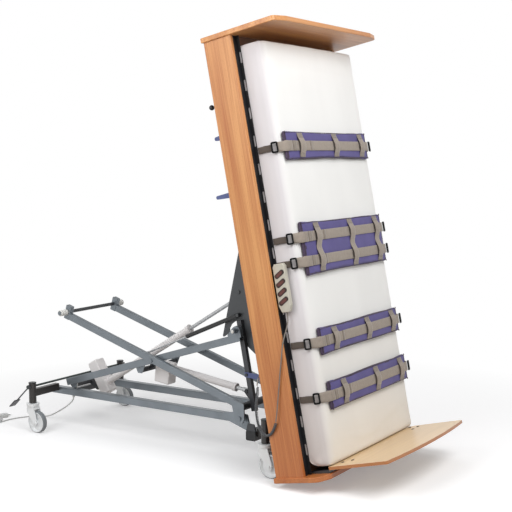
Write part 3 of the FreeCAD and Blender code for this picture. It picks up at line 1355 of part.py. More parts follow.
curl_angles = [quarter * k for k in range(curl_count * 4 + 1)]
curl_points = [curl_at(a) for a in curl_angles]
curl_ways = [curl_way(a) for a in curl_angles[1:-1]]
first_way = unit(curl_run[1] - curl_run[0])
last_way = unit(curl_run[-1] - curl_run[-2])
curl_ways = [first_way] + curl_ways + [last_way]
curl_wire_path = smooth_wire(curl_points, curl_ways)
tube_d = curl_wire * 2
straight_in = Part.makeLine(curl_points[0] - first_way * tube_d, curl_points[0])
straight_out = Part.makeLine(curl_points[-1], curl_points[-1] + last_way * tube_d)
curl_wire_path = Part.Wire([straight_in] + curl_wire_path.Edges + [straight_out])
curly = tube_on(curl_wire_path, curl_points[0] - first_way * tube_d, first_way, curl_wire)
n_spaced = curl_count * turn_sample_count
spaced = [curl_at(curl_turn * k / n_spaced) for k in range(n_spaced + 1)]
print("curly cord length", round(curl_wire_path.Length, 1), "least gap", round(least_gap(spaced, curl_wire, turn_sample_count - 6), 2),
      "volume share", round(curly.Volume / (curl_wire_path.Length * math.pi * curl_wire ** 2), 4),
      "valid", curly.isValid())
save("handset_cord_curls", bed(curly))

# plug, strain relief and the gland under the rail
plug_way = unit(V(*plug_route[-1]) - V(*plug_route[-2]))
plug_turn = math.degrees(math.atan2(plug_way.y, plug_way.x))


def lay_plug(shape):
    q = shape.copy()
    q.rotate(V(0, 0, 0), V(0, 0, 1), plug_turn)
    q.translate(V(*plug_route[-1]) + plug_way * (run_clear * 2))
    return q


relief = Part.makeCone(mains_r + run_clear * 6, relief_r, relief_l, V(0, 0, 0), V(1, 0, 0))
body = soft_box(relief_l, relief_l + plug_l, -plug_w / 2, plug_w / 2, -plug_t / 2, plug_t / 2, soft_edge * 2)
for k in (-1, 1):
    pin = Part.makeCylinder(pin_r, pin_l + soft_edge, V(relief_l + plug_l - soft_edge, k * pin_half, 0), V(1, 0, 0))
    body = add(body, pin)
gland = cyl_z(mains_route[0][0], mains_route[0][1], gland_r, rail_low - gland_l, rail_low)
gland = gland.cut(cyl_z(mains_route[0][0], mains_route[0][1], mains_r + seat_gap, rail_low - gland_l * 2, rail_low + clear))
save("mains_plug", lay_plug(body.removeSplitter()))
save("mains_strain_reliefs", lay_plug(relief), gland)
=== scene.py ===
"""Looks of a standing tilt table on a castored scissor lift, built round its CAD frame."""

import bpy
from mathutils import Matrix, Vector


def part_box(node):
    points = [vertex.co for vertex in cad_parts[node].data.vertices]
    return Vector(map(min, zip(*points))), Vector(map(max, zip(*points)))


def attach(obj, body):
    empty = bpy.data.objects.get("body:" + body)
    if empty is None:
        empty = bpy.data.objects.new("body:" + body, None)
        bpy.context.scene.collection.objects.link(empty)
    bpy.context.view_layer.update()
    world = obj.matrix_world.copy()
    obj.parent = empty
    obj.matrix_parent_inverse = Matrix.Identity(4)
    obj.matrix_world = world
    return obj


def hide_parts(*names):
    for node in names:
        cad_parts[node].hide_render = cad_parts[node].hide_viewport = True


bl_info = {
    "name": "Standing Tilt Table",
    "version": (1, 0, 0),
    "blender": (4, 5, 0),
    "location": "View3D > Sidebar > Tilt Table",
    "description": "Builds the finishes, soft goods and cords of a standing tilt table",
    "category": "Object",
}

from math import atan2, cos, exp, hypot, pi, radians, sin, sqrt, tan

import bmesh
import bpy
from bpy.props import FloatProperty, FloatVectorProperty, IntProperty, PointerProperty
from mathutils import Matrix, Vector, noise

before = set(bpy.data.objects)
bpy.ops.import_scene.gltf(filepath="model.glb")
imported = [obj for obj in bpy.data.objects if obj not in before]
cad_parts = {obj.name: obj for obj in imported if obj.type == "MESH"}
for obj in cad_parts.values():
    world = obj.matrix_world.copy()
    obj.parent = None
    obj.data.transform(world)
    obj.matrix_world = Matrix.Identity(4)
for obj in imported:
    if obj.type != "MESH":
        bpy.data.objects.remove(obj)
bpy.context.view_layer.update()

SHADER = "Principled BSDF"
TURN = 2 * pi
UP = Vector((0, 0, 1))

# The bed's own axes: s runs up the bed from the foot panel, w off the back edge of its
# boards toward the person, y to the table's left. All in metres.
LEAN = radians(79.2)
CHASSIS_X = -1.0979
BED_FOOT = Vector((1.745 + CHASSIS_X, 0.0, 0.047))
# slopes of the foot plate in the bed and of the tilt drive's rod, and the castors' tread
PLATE_RISE = radians(3.5)
ROD_SLOPE = radians(30.7)
TREAD_IN = 0.0582


def bed_point(s, w, y):
    c, k = cos(LEAN), sin(LEAN)
    return BED_FOOT + Vector((-s * c + w * k, y, s * k + w * c))


def linear(hex_text):
    """Linear colour of an sRGB hex value."""
    parts = (int(hex_text[i : i + 2], 16) / 255 for i in (1, 3, 5))
    return tuple(c / 12.92 if c <= 0.04045 else ((c + 0.055) / 1.055) ** 2.4 for c in parts)


def colour(name, hex_text, about):
    rgb = linear(hex_text)
    return FloatVectorProperty(
        name=name, description=about, subtype="COLOR", size=3, min=0, max=1, default=rgb
    )


def length(name, about, default, low, high):
    return FloatProperty(
        name=name, description=about, unit="LENGTH", default=default, min=low, max=high
    )


class TiltTableFinish(bpy.types.PropertyGroup):
    """Colours and sizes that a user would change."""

    wood_light: colour("Veneer light", "#DA9E62", "Early wood of the red beech veneer")
    wood_dark: colour("Veneer dark", "#B06A36", "Late wood of the red beech veneer")
    ply_light: colour("Ply light", "#E6C79C", "Face of the beech ply foot plate")
    ply_dark: colour("Ply dark", "#BC7A46", "Edge plies of the foot plate")
    cover: colour("Mattress cover", "#F2F2F0", "Stretch knit cover")
    # the border's grey is partly its fabric and partly painted shade on the mattress side
    border_and_shade: colour("Mattress border", "#DFDBDF", "Border fabric round the mattress")
    pad: colour("Pad cover", "#5B5489", "Coated fabric of the pads")
    binding: colour("Pad binding", "#43364A", "Tape along the pad edges")
    webbing: colour("Webbing", "#998E83", "Polyester webbing of the straps")
    webbing_dark: colour("Side webbing", "#51473F", "Webbing beside the mattress")
    powder_light: colour("Chassis grey", "#7D848A", "Powder coat of the chassis and arms")
    powder_dark: colour("Frame grey", "#37393D", "Powder coat of the bed frame")
    shell_light: colour("Drive shell", "#EDEAEA", "Moulded shell of the drives")
    castor_grey: colour("Castor shell", "#F0F3F5", "Moulded castor fork")
    tread_grey: colour("Castor tread", "#7C8185", "Tread of the castor wheels")
    handset_grey: colour("Handset", "#BFBBAE", "Moulded handset shell")
    key_red: colour("Keys", "#4A231D", "Handset keys")
    lever_blue: colour("Levers", "#55608F", "Grip of the release levers")
    sheath_grey: colour("Cable sheath", "#CFD1D0", "Sheath of the mains lead")
    curl_grey: colour("Curly cord", "#55575A", "Sheath of the handset's curly cord")
    thin_grey: colour("Thin cord", "#7A736C", "Sheath of the handset's thin cord")
    pad_voxel: length("Pad voxel", "Remesh size of the pads", 0.006, 0.003, 0.02)
    mattress_step: length("Mattress step", "Mesh step along the mattress", 0.016, 0.006, 0.04)
    cord_sides: IntProperty(
        name="Cord sides", description="Bevel resolution of the cords", default=4, min=2, max=8
    )


def settings():
    return bpy.context.scene.tilt_table


# Nodes: one function adds a node, and short ones over it name the steps that repeat


def add(tree, kind, sockets=None, **settings):
    """Add a node. Settings are its properties; sockets are values or outputs to link."""
    n = tree.nodes.new(kind)
    for key, value in settings.items():
        setattr(n, key, value)
    for key, value in (sockets or {}).items():
        if isinstance(value, bpy.types.NodeSocket):
            tree.links.new(value, n.inputs[key])
        else:
            n.inputs[key].default_value = value
    return n


def vector(t, kind, a, b=(0, 0, 0)):
    """A step on vectors, and its number where it gives one."""
    n = add(t, "ShaderNodeVectorMath", {0: a, 1: b}, operation=kind)
    return n.outputs["Value" if kind in ("LENGTH", "DOT_PRODUCT") else "Vector"]


def calc(t, kind, a, b=0.0, c=0.0):
    return add(t, "ShaderNodeMath", {0: a, 1: b, 2: c}, operation=kind).outputs[0]


def cloud(t, where, scale=1.0, detail=2.0, **more):
    sockets = {"Vector": where, "Scale": scale, "Detail": detail, **more}
    return add(t, "ShaderNodeTexNoise", sockets).outputs[0]


def waves(t, where, scale, way, distortion=0.0):
    sockets = {"Vector": where, "Scale": scale, "Distortion": distortion}
    n = add(t, "ShaderNodeTexWave", sockets, wave_type="BANDS", bands_direction=way)
    return n.outputs["Fac"]


def fade(t, value, start, end):
    """0 at start, 1 at end."""
    sockets = {"Value": value, "From Min": start, "From Max": end}
    return add(t, "ShaderNodeMapRange", sockets).outputs[0]


def turned(t, where, angle=0.0, scale=(1, 1, 1)):
    """Coordinates turned back by angle about Y, then stretched."""
    m = add(t, "ShaderNodeMapping", {"Vector": where, "Rotation": (0, -angle, 0)})
    return vector(t, "MULTIPLY", m.outputs[0], scale)


def in_bed(t, where):
    """x, y and z from the bed's foot, in its own frame."""
    off = vector(t, "SUBTRACT", where, BED_FOOT)
    return add(t, "ShaderNodeSeparateXYZ", {0: turned(t, off, LEAN)}).outputs


def ramp(t, factor, stops, kind="LINEAR"):
    r = add(t, "ShaderNodeValToRGB", {"Fac": factor})
    e = r.color_ramp.elements
    while len(e) < len(stops):
        e.new(0.5)
    for i, (place, c) in enumerate(stops):
        e[i].position = place
        e[i].color = (*c, 1.0)
    r.color_ramp.interpolation = kind
    return r.outputs["Color"]


def mixed(t, factor, a, b, kind="MIX"):
    """Mix two colours, each a tuple or an output."""
    a, b = (v if isinstance(v, bpy.types.NodeSocket) else (*v, 1.0) for v in (a, b))
    n = add(t, "ShaderNodeMix", {0: factor, 6: a, 7: b}, data_type="RGBA", blend_type=kind)
    return n.outputs[2]


def tinted(t, factor, c, tint):
    """Colour c, multiplied by the tint where factor is 1."""
    return mixed(t, factor, c, mixed(t, 1.0, c, tint, "MULTIPLY"))


def mix_shaders(t, factor, a, b):
    return add(t, "ShaderNodeMixShader", {0: factor, 1: a.outputs[0], 2: b.outputs[0]})


def seen_rays(t):
    """1 for rays from the camera, off gloss and through glass, 0 for those that light."""
    path = add(t, "ShaderNodeLightPath").outputs
    seen = calc(t, "MAXIMUM", path["Is Camera Ray"], path["Is Glossy Ray"])
    return calc(t, "MAXIMUM", seen, path["Is Transmission Ray"])


def material(name, roughness, metallic=0.0, **more):
    """A new material with its tree and its Object coordinates."""
    m = bpy.data.materials.new(name)
    m.use_nodes = True
    t = m.node_tree
    for key, value in {"Roughness": roughness, "Metallic": metallic, **more}.items():
        t.nodes[SHADER].inputs[key.replace("_", " ")].default_value = value
    return m, t, add(t, "ShaderNodeTexCoord").outputs["Object"]


def paint(t, value, socket="Base Color"):
    t.links.new(value, t.nodes[SHADER].inputs[socket])


def bump(t, height, strength, distance, under=None):
    n = add(t, "ShaderNodeBump", {"Height": height, "Strength": strength, "Distance": distance})
    if under is not None:
        t.links.new(under, n.inputs["Normal"])
    paint(t, n.outputs[0], "Normal")
    return n.outputs[0]


def shade(c, k):
    return tuple(min(1.0, v * k) for v in c)


def tone(t, factor, c, low, high, start=0.3, end=0.7):
    """Paint with colour c times low where factor is below start, times high above end."""
    paint(t, ramp(t, factor, [(start, shade(c, low)), (end, shade(c, high))]))


# Materials


def veneer(name, along):
    """Red beech veneer under satin lacquer: straight fine streaks along the grain, a few
    broader tone bands, and short dark flecks. along is the grain's axis, in bed axes."""
    s = settings()
    m, t, where = material(name, 0.42, Coat_Weight=0.25, Coat_Roughness=0.3)

    def grain(fine, cross, detail=3.0, **more):
        scale = (fine, cross, cross) if along == "s" else (cross, fine, cross)
        return cloud(t, turned(t, where, LEAN, scale), 1.0, detail, **more)

    # streaks are 2 to 4 mm wide on the real veneer and about 0.4 m long
    streak = grain(2.5, 320, Roughness=0.6)
    band = grain(0.9, 22, Roughness=0.6)
    fleck = grain(60, 900, 1.0)
    f = calc(t, "ADD", calc(t, "MULTIPLY", streak, 0.45), calc(t, "MULTIPLY", band, 0.6))
    mid = tuple((p + q) / 2 for p, q in zip(s.wood_light, s.wood_dark))
    c = ramp(t, f, [(0.36, s.wood_dark), (0.5, mid), (0.66, s.wood_light)])
    spots = ramp(t, fleck, [(0.3, (0.72, 0.66, 0.6)), (0.42, (1, 1, 1))])
    c = mixed(t, 0.5, c, spots, "MULTIPLY")
    # painted shade: the boards run darker and redder toward the foot of the bed, where less light
    # reaches them
    paint(t, tinted(t, fade(t, in_bed(t, where)[0], -1.0, 0.0), c, (0.8, 0.58, 0.46)))
    bump(t, streak, 0.08, 0.0004)
    return m


def beech_ply(name):
    """Pale beech plywood, lacquered: fine straight grain on the faces, cut plies at the edges."""
    s = settings()
    m, t, where = material(name, 0.38, Coat_Weight=0.2, Coat_Roughness=0.25)
    slope = LEAN + PLATE_RISE
    local = turned(t, where, slope)
    streak = cloud(t, vector(t, "MULTIPLY", local, (260, 3, 260)), 1.0, 3.0)
    face = ramp(t, streak, [(0.3, shade(s.ply_light, 0.86)), (0.6, s.ply_light)])
    # nine plies in 15 mm
    depth = add(t, "ShaderNodeSeparateXYZ", {0: local}).outputs[0]
    ply = calc(t, "SINE", calc(t, "MULTIPLY", depth, TURN / 0.0033))
    stripes = calc(t, "MULTIPLY_ADD", ply, 0.5, 0.5)
    edge = ramp(t, stripes, [(0.0, shade(s.ply_dark, 0.72)), (0.5, s.ply_dark)])
    # the two faces are told from the edges by the way they look
    way = add(t, "ShaderNodeTexCoord").outputs["Normal"]
    facing = vector(t, "DOT_PRODUCT", way, (-cos(slope), 0.0, sin(slope)))
    is_face = calc(t, "GREATER_THAN", calc(t, "ABSOLUTE", facing), 0.7)
    paint(t, mixed(t, is_face, edge, face))
    bump(t, streak, 0.06, 0.0003)
    return m


def powder_coat(name, c, rough=0.42, metal=0.0):
    """Polyester powder coat on steel: faint orange peel about 1.5 mm across, soft gloss. With
    metal flake in it, it mirrors the room softly and falls dark where the room is dark."""
    m, t, where = material(name, rough, metal, Coat_Weight=0.15, Coat_Roughness=0.35)
    tone(t, cloud(t, where, 9.0, 3.0), c, 0.9, 1.06)
    if not metal:
        bump(t, cloud(t, where, 650.0), 0.06, 0.0002)
    return m


def moulded(name, c, rough=0.45, grit=1400.0, depth=0.12, even=1.0):
    """Injection-moulded plastic with a spark-eroded grain, about 0.7 mm coarse."""
    m, t, where = material(name, rough)
    tone(t, cloud(t, where, 14.0), c, 1 - 0.07 * even, 1 + 0.04 * even)
    if depth:
        bump(t, cloud(t, where, grit, 1.0), depth, 0.0003)
    return m


def ground_steel(name):
    """Ground and chromed piston rod: bright, with faint rings across its length."""
    m, t, where = material(name, 0.2, 1.0)
    rings = cloud(t, turned(t, where, -ROD_SLOPE, (900, 60, 60)))
    paint(t, ramp(t, rings, [(0.3, linear("#A9ABAD")), (0.7, linear("#D3D4D5"))]))
    paint(t, calc(t, "MULTIPLY_ADD", rings, 0.25, 0.5), "Roughness")
    return m


def castor_wheel(name, centre):
    """Castor wheel: pale polyamide disc, then a thin grey rubber tread from 58 mm out."""
    s = settings()
    c = s.castor_grey
    m, t, where = material(name, 0.5)
    flat = vector(t, "MULTIPLY", vector(t, "SUBTRACT", where, centre), (1, 0, 1))
    wide = cloud(t, where, 40.0, 3.0)
    disc = ramp(t, wide, [(0.0, shade(c, 0.8)), (0.25, shade(c, 0.94)), (0.8, c)])
    tread = calc(t, "GREATER_THAN", vector(t, "LENGTH", flat), TREAD_IN)
    paint(t, mixed(t, tread, disc, s.tread_grey))
    bump(t, wide, 0.1, 0.0003)
    return m


def knit_cover(name):
    """White stretch knit over foam: fine ribs 1.2 mm apart, soft sheen, faint long creases."""
    s = settings()
    m, t, where = material(name, 0.78, Sheen_Weight=0.25, Sheen_Roughness=0.5)
    bed = turned(t, where, LEAN)
    weave = calc(t, "ADD", waves(t, bed, 240.0, "Y", 0.4), waves(t, bed, 300.0, "X", 0.4))
    soft = cloud(t, turned(t, where, LEAN, (2, 5, 5)), 1.0, 3.0)
    c = ramp(t, soft, [(0.3, shade(s.cover, 0.96)), (0.65, s.cover)])
    x, _, z = in_bed(t, where)
    # painted shade: a little darker and warmer toward the foot plate. The border's knit starts on
    # the shoulder and runs into the face over about 25 mm; its grey is partly the border fabric and
    # partly painted shade on the mattress side.
    c = tinted(t, fade(t, x, -0.75, -0.05), c, linear("#F5F0E9"))
    c = tinted(t, fade(t, z, MATTRESS_TOP - 0.003, MATTRESS_TOP - 0.026), c, s.border_and_shade)
    paint(t, c)
    bump(t, weave, 0.08, 0.0004, bump(t, soft, 0.25, 0.004))
    return m


def coated_fabric(name, c):
    """Polyurethane-coated polyester: fine 1 mm weave under a dull skin, a little sheen."""
    m, t, where = material(name, 0.62, Sheen_Weight=0.1, Specular_IOR_Level=0.3)
    bed = turned(t, where, LEAN)
    weave = calc(t, "MAXIMUM", waves(t, bed, 320.0, "Y"), waves(t, bed, 320.0, "X"))
    soft = cloud(t, bed, 12.0, 4.0)
    tone(t, soft, c, 0.88, 1.08)
    bump(t, weave, 0.1, 0.0004, bump(t, soft, 0.2, 0.002))
    return m


def webbing(name, c):
    """Woven polyester webbing: herringbone ribs 2 mm apart along the band, from its UV map
    in metres."""
    m, t, where = material(name, 0.8, Sheen_Weight=0.3)
    uv = add(t, "ShaderNodeTexCoord").outputs["UV"]
    row = calc(t, "MULTIPLY", waves(t, uv, 110.0, "Y"), 0.4)
    weave = calc(t, "MULTIPLY_ADD", waves(t, uv, 160.0, "X", 0.6), 0.6, row)
    both = calc(t, "ADD", weave, cloud(t, where, 60.0, 3.0))
    tone(t, calc(t, "MULTIPLY", both, 0.5), c, 0.78, 1.12, 0.2, 0.75)
    bump(t, weave, 0.35, 0.0006)
    return m


def cable_sheath(name, c):
    """Extruded PVC sheath: smooth, with a slow drift in tone."""
    m, t, where = material(name, 0.38)
    soft = cloud(t, where, 30.0)
    tone(t, soft, c, 0.9, 1.0)
    bump(t, soft, 0.05, 0.0005)
    return m


def key_rubber(name, mesh):
    """Moulded silicone key, red-brown, with a painted highlight in the middle that runs out to near
    black at its rim.
    """
    c = settings().key_red
    m, t, where = material(name, 0.35)
    points = [v.co for v in mesh.vertices]
    centre = sum(points, Vector()) / len(points)
    flat = [(p - centre) * Vector((1, 0, 1)) for p in points]
    along = max(flat, key=lambda p: p.length).normalized()
    off = vector(t, "SUBTRACT", where, centre)
    far = []
    for way, power in ((along, 4.0), (Vector((along.z, 0, -along.x)), 2.5)):
        half = max(abs(p.dot(way)) for p in flat)
        u = vector(t, "DOT_PRODUCT", off, way / half)
        far.append(calc(t, "POWER", calc(t, "ABSOLUTE", u), power))
    rim = calc(t, "ADD", *far)
    # painted highlight in the middle, near black at the rim
    paint(t, ramp(t, rim, [(0.0, shade(c, 1.7)), (0.22, c), (0.5, shade(c, 0.22))]))
    return m


# Pieces: CAD nodes get materials, and new forms are linked and ride on a body


def dress(nodes, *mats, second=None):
    """Give CAD nodes a material, and the faces that second picks another."""
    for n in nodes.split():
        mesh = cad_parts[n].data
        mesh.materials.clear()
        for m in mats:
            mesh.materials.append(m)
        if second:
            for f in mesh.polygons:
                f.material_index = int(second(f.center))


def linked(name, data):
    o = bpy.data.objects.new(name, data)
    bpy.context.scene.collection.objects.link(o)
    return o


def plain(o):
    """An object's evaluated form as a plain mesh."""
    return bpy.data.meshes.new_from_object(o.evaluated_get(bpy.context.evaluated_depsgraph_get()))


def mesh_from(bm, name):
    """End a bmesh as a mesh whose faces look outward."""
    bmesh.ops.recalc_face_normals(bm, faces=bm.faces)
    mesh = bpy.data.meshes.new(name)
    bm.to_mesh(mesh)
    bm.free()
    return mesh


def skin(bm, rings, closed=True):
    """Faces between rings of vertices, back to the first ring or with an end cap each."""
    n = len(rings[0])
    for a, b in zip(rings, rings[1:] + rings[:1] if closed else rings[1:]):
        for i in range(n):
            j = (i + 1) % n
            bm.faces.new((a[i], a[j], b[j], b[i]))
    if not closed:
        bm.faces.new(rings[0])
        bm.faces.new(rings[-1][::-1])


def shown(name, mesh, slot, *replaces):
    """A mesh as a finished piece that rides on the bed."""
    o = linked(name, mesh)
    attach(o, "bed")
    if replaces:
        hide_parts(*replaces)
    return o


def finished(bm, name, mats, slot, *replaces):
    """End a form that was made in the bed's frame, and set it up on the bed."""
    mesh = mesh_from(bm, name)
    mesh.transform(BED)
    for m in mats:
        mesh.materials.append(m)
    return shown(name, mesh, slot, *replaces)


class TILT_OT_frame(bpy.types.Operator):
    """Finish the boards, frame, chassis, arms and castors"""

    bl_idname = "tilt_table.frame"
    bl_label = "Frame and chassis"

    def execute(self, context):
        s = settings()
        self.wood_and_steel(s)
        self.mouldings(s)
        return {"FINISHED"}

    def wood_and_steel(self, s):
        dress("side_boards", veneer("red_beech_veneer_long", "s"))
        dress("head_panel foot_panel", veneer("red_beech_veneer_cross", "y"))
        dress("foot_plate", beech_ply("beech_plywood"))
        light = powder_coat("powder_coated_steel_silver", s.powder_light, 0.34, 0.65)
        dark = powder_coat("powder_coated_steel_dark", s.powder_dark)
        dress("base_rails lift_arms_outer lift_arms_inner", light)
        dress("outer_arm_cross_tubes", dark, light, second=lambda p: abs(p.y) > 0.175)
        dress("base_cross_tubes inner_arm_cross_tubes hinge_frame bed_frame_tubes", dark)
        dress("bed_cross_tubes foot_plate_fixings lever_brackets brake_pedal", dark)
        axles = "castor_axle_tubes front_outriggers"
        for nodes, name, c, rough in (
            # painted shade: the castor axle tubes and front outriggers get a brown-black that
            # stands for the shade they lie in
            (axles, "steel_in_painted_shade", "#262220", 0.36),
            ("tilt_gussets", "powder_coated_steel_gusset", "#424548", 0.4),
            ("slotted_deck_edges", "powder_coated_steel_black", "#15161A", 0.38),
            ("gas_spring_cylinder", "painted_gas_spring", "#1B1C1E", 0.2),
            ("brake_rod", "painted_hexagon_bar", "#1E2E2A", 0.35),
        ):
            dress(nodes, powder_coat(name, linear(c), rough))
        rods = "tilt_actuator_rod lift_actuator_rod gas_spring_rod"
        dress(rods, ground_steel("ground_steel_rod"))

    def mouldings(self, s):
        board = moulded("laminated_deck_board", linear("#6B4A34"), 0.5, 500.0, 0.08)
        shell = moulded("moulded_abs_light", s.shell_light, 0.3, depth=0, even=0.15)
        black = moulded("moulded_polyamide_black", linear("#17181A"), 0.4)
        nylon = moulded("turned_nylon", linear("#E6E6E2"), 0.35)
        fork = moulded("moulded_polyamide_pale", s.castor_grey, 0.34, depth=0.04, even=0.4)
        lever = moulded("moulded_polyamide_blue", s.lever_blue, 0.32)
        dress("deck_panel", board)
        dress("tilt_actuator_housing lift_actuator_housing control_box", shell)
        dress("chassis_end_caps locking_knob", black)
        dress("upper_rollers inner_arm_caps lower_rollers", nylon)
        dress("handset_case", moulded("moulded_abs_beige", s.handset_grey, 0.45))
        dress("upper_release_lever middle_release_lever lower_release_lever", lever)
        for k in range(1, 5):
            name = "handset_key_%d" % k
            dress(name, key_rubber("silicone_key_%d" % k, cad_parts[name].data))
        for corner in ("rear_right", "rear_left", "front_right", "front_left"):
            dress("castor_fork_" + corner, fork)
            wheel = "castor_wheel_" + corner
            middle = [(a + b) / 2 for a, b in zip(*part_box(wheel))]
            dress(wheel, castor_wheel(wheel, middle))


# Cords: the routes' points are part.py's, in metres

MAINS_ROUTE = [
    (0.112, -0.162, 0.1877), (0.112, -0.162, 0.167), (0.1, -0.1605, 0.149),
    (0.072, -0.157, 0.127), (0.036, -0.15, 0.103), (-0.01, -0.14, 0.079),
    (-0.052, -0.129, 0.058), (-0.098, -0.117, 0.036), (-0.14, -0.107, 0.018),
    (-0.182, -0.101, 0.0065), (-0.224, -0.107, 0.0041), (-0.262, -0.14, 0.0041),
    (-0.298, -0.194, 0.0041), (-0.32, -0.256, 0.0041), (-0.32, -0.312, 0.0041),
    (-0.317, -0.35, 0.0041),
]
PLUG_ROUTE = [
    (-0.431, -0.35, 0.0122), (-0.431, -0.328, 0.0122), (-0.427, -0.306, 0.0122),
    (-0.418, -0.286, 0.0122),
]
COIL_OUT, COIL_PITCH, COIL_RISE, COIL_GROWTH = 0.056, 0.008, 0.0081, 0.014
COIL_TURNS = 3
MAINS_R = 0.00375
# the handset's cord, in s, w and y
THIN_ROUTE = [
    (0.7759, 0.196, -0.4628), (0.752, 0.196, -0.463), (0.722, 0.192, -0.469),
    (0.684, 0.18, -0.482), (0.642, 0.168, -0.497), (0.6, 0.158, -0.505),
    (0.556, 0.147, -0.507), (0.51, 0.132, -0.507), (0.455, 0.117, -0.508),
    (0.396, 0.1, -0.509), (0.342, 0.085, -0.511), (0.302, 0.075, -0.5136),
    (0.2721, 0.0642, -0.5142),
]
THICK_ROUTE = [
    (s, w, -0.509)
    for s, w in (
        (0.268, 0.062), (0.24, 0.047), (0.212, 0.022), (0.205, -0.01), (0.229, -0.033),
        (0.266, -0.044), (0.33, -0.042), (0.38, -0.029), (0.426, -0.012), (0.446, -0.009),
    )
]
TAIL_ROUTE = [
    (0.4507, -0.0083, -0.5142), (0.47, -0.0075, -0.506), (0.492, -0.009, -0.488),
    (0.51, -0.006, -0.456), (0.518, 0.006, -0.428), (0.519, 0.0156, -0.4012),
]
HAND_R = 0.0029
CURL_R = 0.0052
CURL_WIRE = 0.0023
CURL_COUNT = 54
CURL_STEPS = 1600


def spline_curve(name, points, radius=0.0, sides=0, steps=8):
    """A NURBS cord on control points."""
    c = bpy.data.curves.new(name, "CURVE")
    c.dimensions = "3D"
    c.bevel_depth = radius
    c.bevel_resolution = sides
    c.use_fill_caps = True
    sp = c.splines.new("NURBS")
    sp.points.add(len(points) - 1)
    for point, p in zip(sp.points, points):
        point.co = (*p, 1)
    sp.order_u = 3
    sp.use_endpoint_u = True
    sp.resolution_u = steps
    return c


def route_points(points):
    """Points read along the NURBS spline of a route."""
    o = linked("route", spline_curve("route", points))
    mesh = bpy.data.meshes.new_from_object(o)
    out = [v.co.copy() for v in mesh.vertices]
    bpy.data.curves.remove(o.data)
    bpy.data.meshes.remove(mesh)
    return out


def length_of(points):
    return sum((b - a).length for a, b in zip(points, points[1:]))


def evenly(points, n):
    """n + 1 points evenly spaced along a polyline, each with its direction."""
    steps = [(b - a).length for a, b in zip(points, points[1:])]
    total = sum(steps)
    out = []
    i, gone = 0, 0.0
    for k in range(n + 1):
        want = total * k / n
        while i < len(steps) - 1 and gone + steps[i] < want:
            gone += steps[i]
            i += 1
        f = min(max((want - gone) / steps[i], 0), 1)
        a, b = points[i], points[i + 1]
        out.append((a.lerp(b, f), (b - a).normalized()))
    return out


def coil_points():
    """Flat coil in two layers, clockwise from above, 16 points to a turn."""
    x, y, low = MAINS_ROUTE[-1]
    centre = Vector((x + CHASSIS_X - COIL_OUT, y, 0))
    lead = COIL_TURNS * TURN
    last = lead * 2 + pi
    n = int(last / TURN * 16)
    out = []
    for k in range(n + 1):
        a = last * k / n
        r, z = COIL_OUT - COIL_PITCH * a / TURN, low
        if a > lead:
            z += COIL_RISE * (1 - cos(min(a - lead, pi))) / 2
        if a > lead + pi:
            over = a - lead - pi
            first = min(over, TURN)
            r = COIL_OUT - COIL_PITCH * (COIL_TURNS + 0.5)
            r += (COIL_GROWTH * first + COIL_PITCH * (over - first)) / TURN
        out.append(centre + Vector((r * cos(a), -r * sin(a), z)))
    return out


def curl_points():
    """The curly part: a helix round its route, whose ends run in over a quarter turn."""
    thick = route_points([bed_point(*p) for p in THICK_ROUTE])
    line = evenly(thick, CURL_STEPS)
    across = Vector((0, 1, 0))
    turns = CURL_COUNT * TURN
    ends = 0.006 / length_of(thick)
    q = pi / 2
    out = []
    for k in range(CURL_COUNT * 16 + 1):
        a = turns * k / (CURL_COUNT * 16)
        if a < q:
            share = ends * a / q
        elif a > turns - q:
            share = 1 - ends * (turns - a) / q
        else:
            share = ends + (1 - 2 * ends) * (a - q) / (turns - 2 * q)
        p, way = line[min(round(share * CURL_STEPS), CURL_STEPS)]
        up = way.cross(across).normalized()
        out.append(p + (up * sin(a) - across * cos(a)) * CURL_R)
    return out


def cord(name, points, radius, sheath, body, slot, *replaces):
    """A cord that rides on a body, and its length. Close points need few steps between."""
    few = len(points) > 200
    c = spline_curve(name, points, radius, 2 if few else settings().cord_sides, 2 if few else 8)
    c.materials.append(sheath)
    o = linked(name, c)
    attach(o, body)
    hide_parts(*replaces)
    return o, round(length_of(route_points(points)), 3)


class TILT_OT_cords(bpy.types.Operator):
    """Lay the mains lead with its coil and plug, and the handset's curly cord"""

    bl_idname = "tilt_table.cords"
    bl_label = "Cords"

    def execute(self, context):
        s = settings()
        self.mains(s)
        self.handset(s)
        return {"FINISHED"}

    def mains(self, s):
        """The lead, its coil and the plug's end are one length of cable."""
        off = Vector((CHASSIS_X, 0, 0))
        lead, end = ([off + Vector(p) for p in route] for route in (MAINS_ROUTE, PLUG_ROUTE))
        whole = lead[:-1] + coil_points() + end[1:]
        sheath = cable_sheath("pvc_sheath_grey", s.sheath_grey)
        o, span = cord(
            "mains_lead_cord", whole, MAINS_R, sheath,
            "chassis", "cable_grey", "mains_lead", "mains_coil",
        )
        dress("mains_plug mains_strain_reliefs", moulded("moulded_pvc_plug", s.sheath_grey, 0.45))

    def handset(self, s):
        curly = cable_sheath("pu_sheath_curly", s.curl_grey)
        thin = cable_sheath("pvc_sheath_thin", s.thin_grey)
        upper, tail = ([bed_point(*p) for p in route] for route in (THIN_ROUTE, TAIL_ROUTE))
        for name, points, r, sheath, node in (
            ("handset_cord_upper", upper, HAND_R, thin, "handset_cord"),
            ("handset_cord_curly", curl_points(), CURL_WIRE, curly, "handset_cord_curls"),
            ("handset_cord_lower", tail, HAND_R, thin, "handset_cord"),
        ):
            o, span = cord(name, points, r, sheath, "bed", "handset_shell", node)


# Soft goods are made in the bed's own frame, x down the bed, y to the left, z off the deck,
# where the remesh lies square to them, and are then set up on the bed.

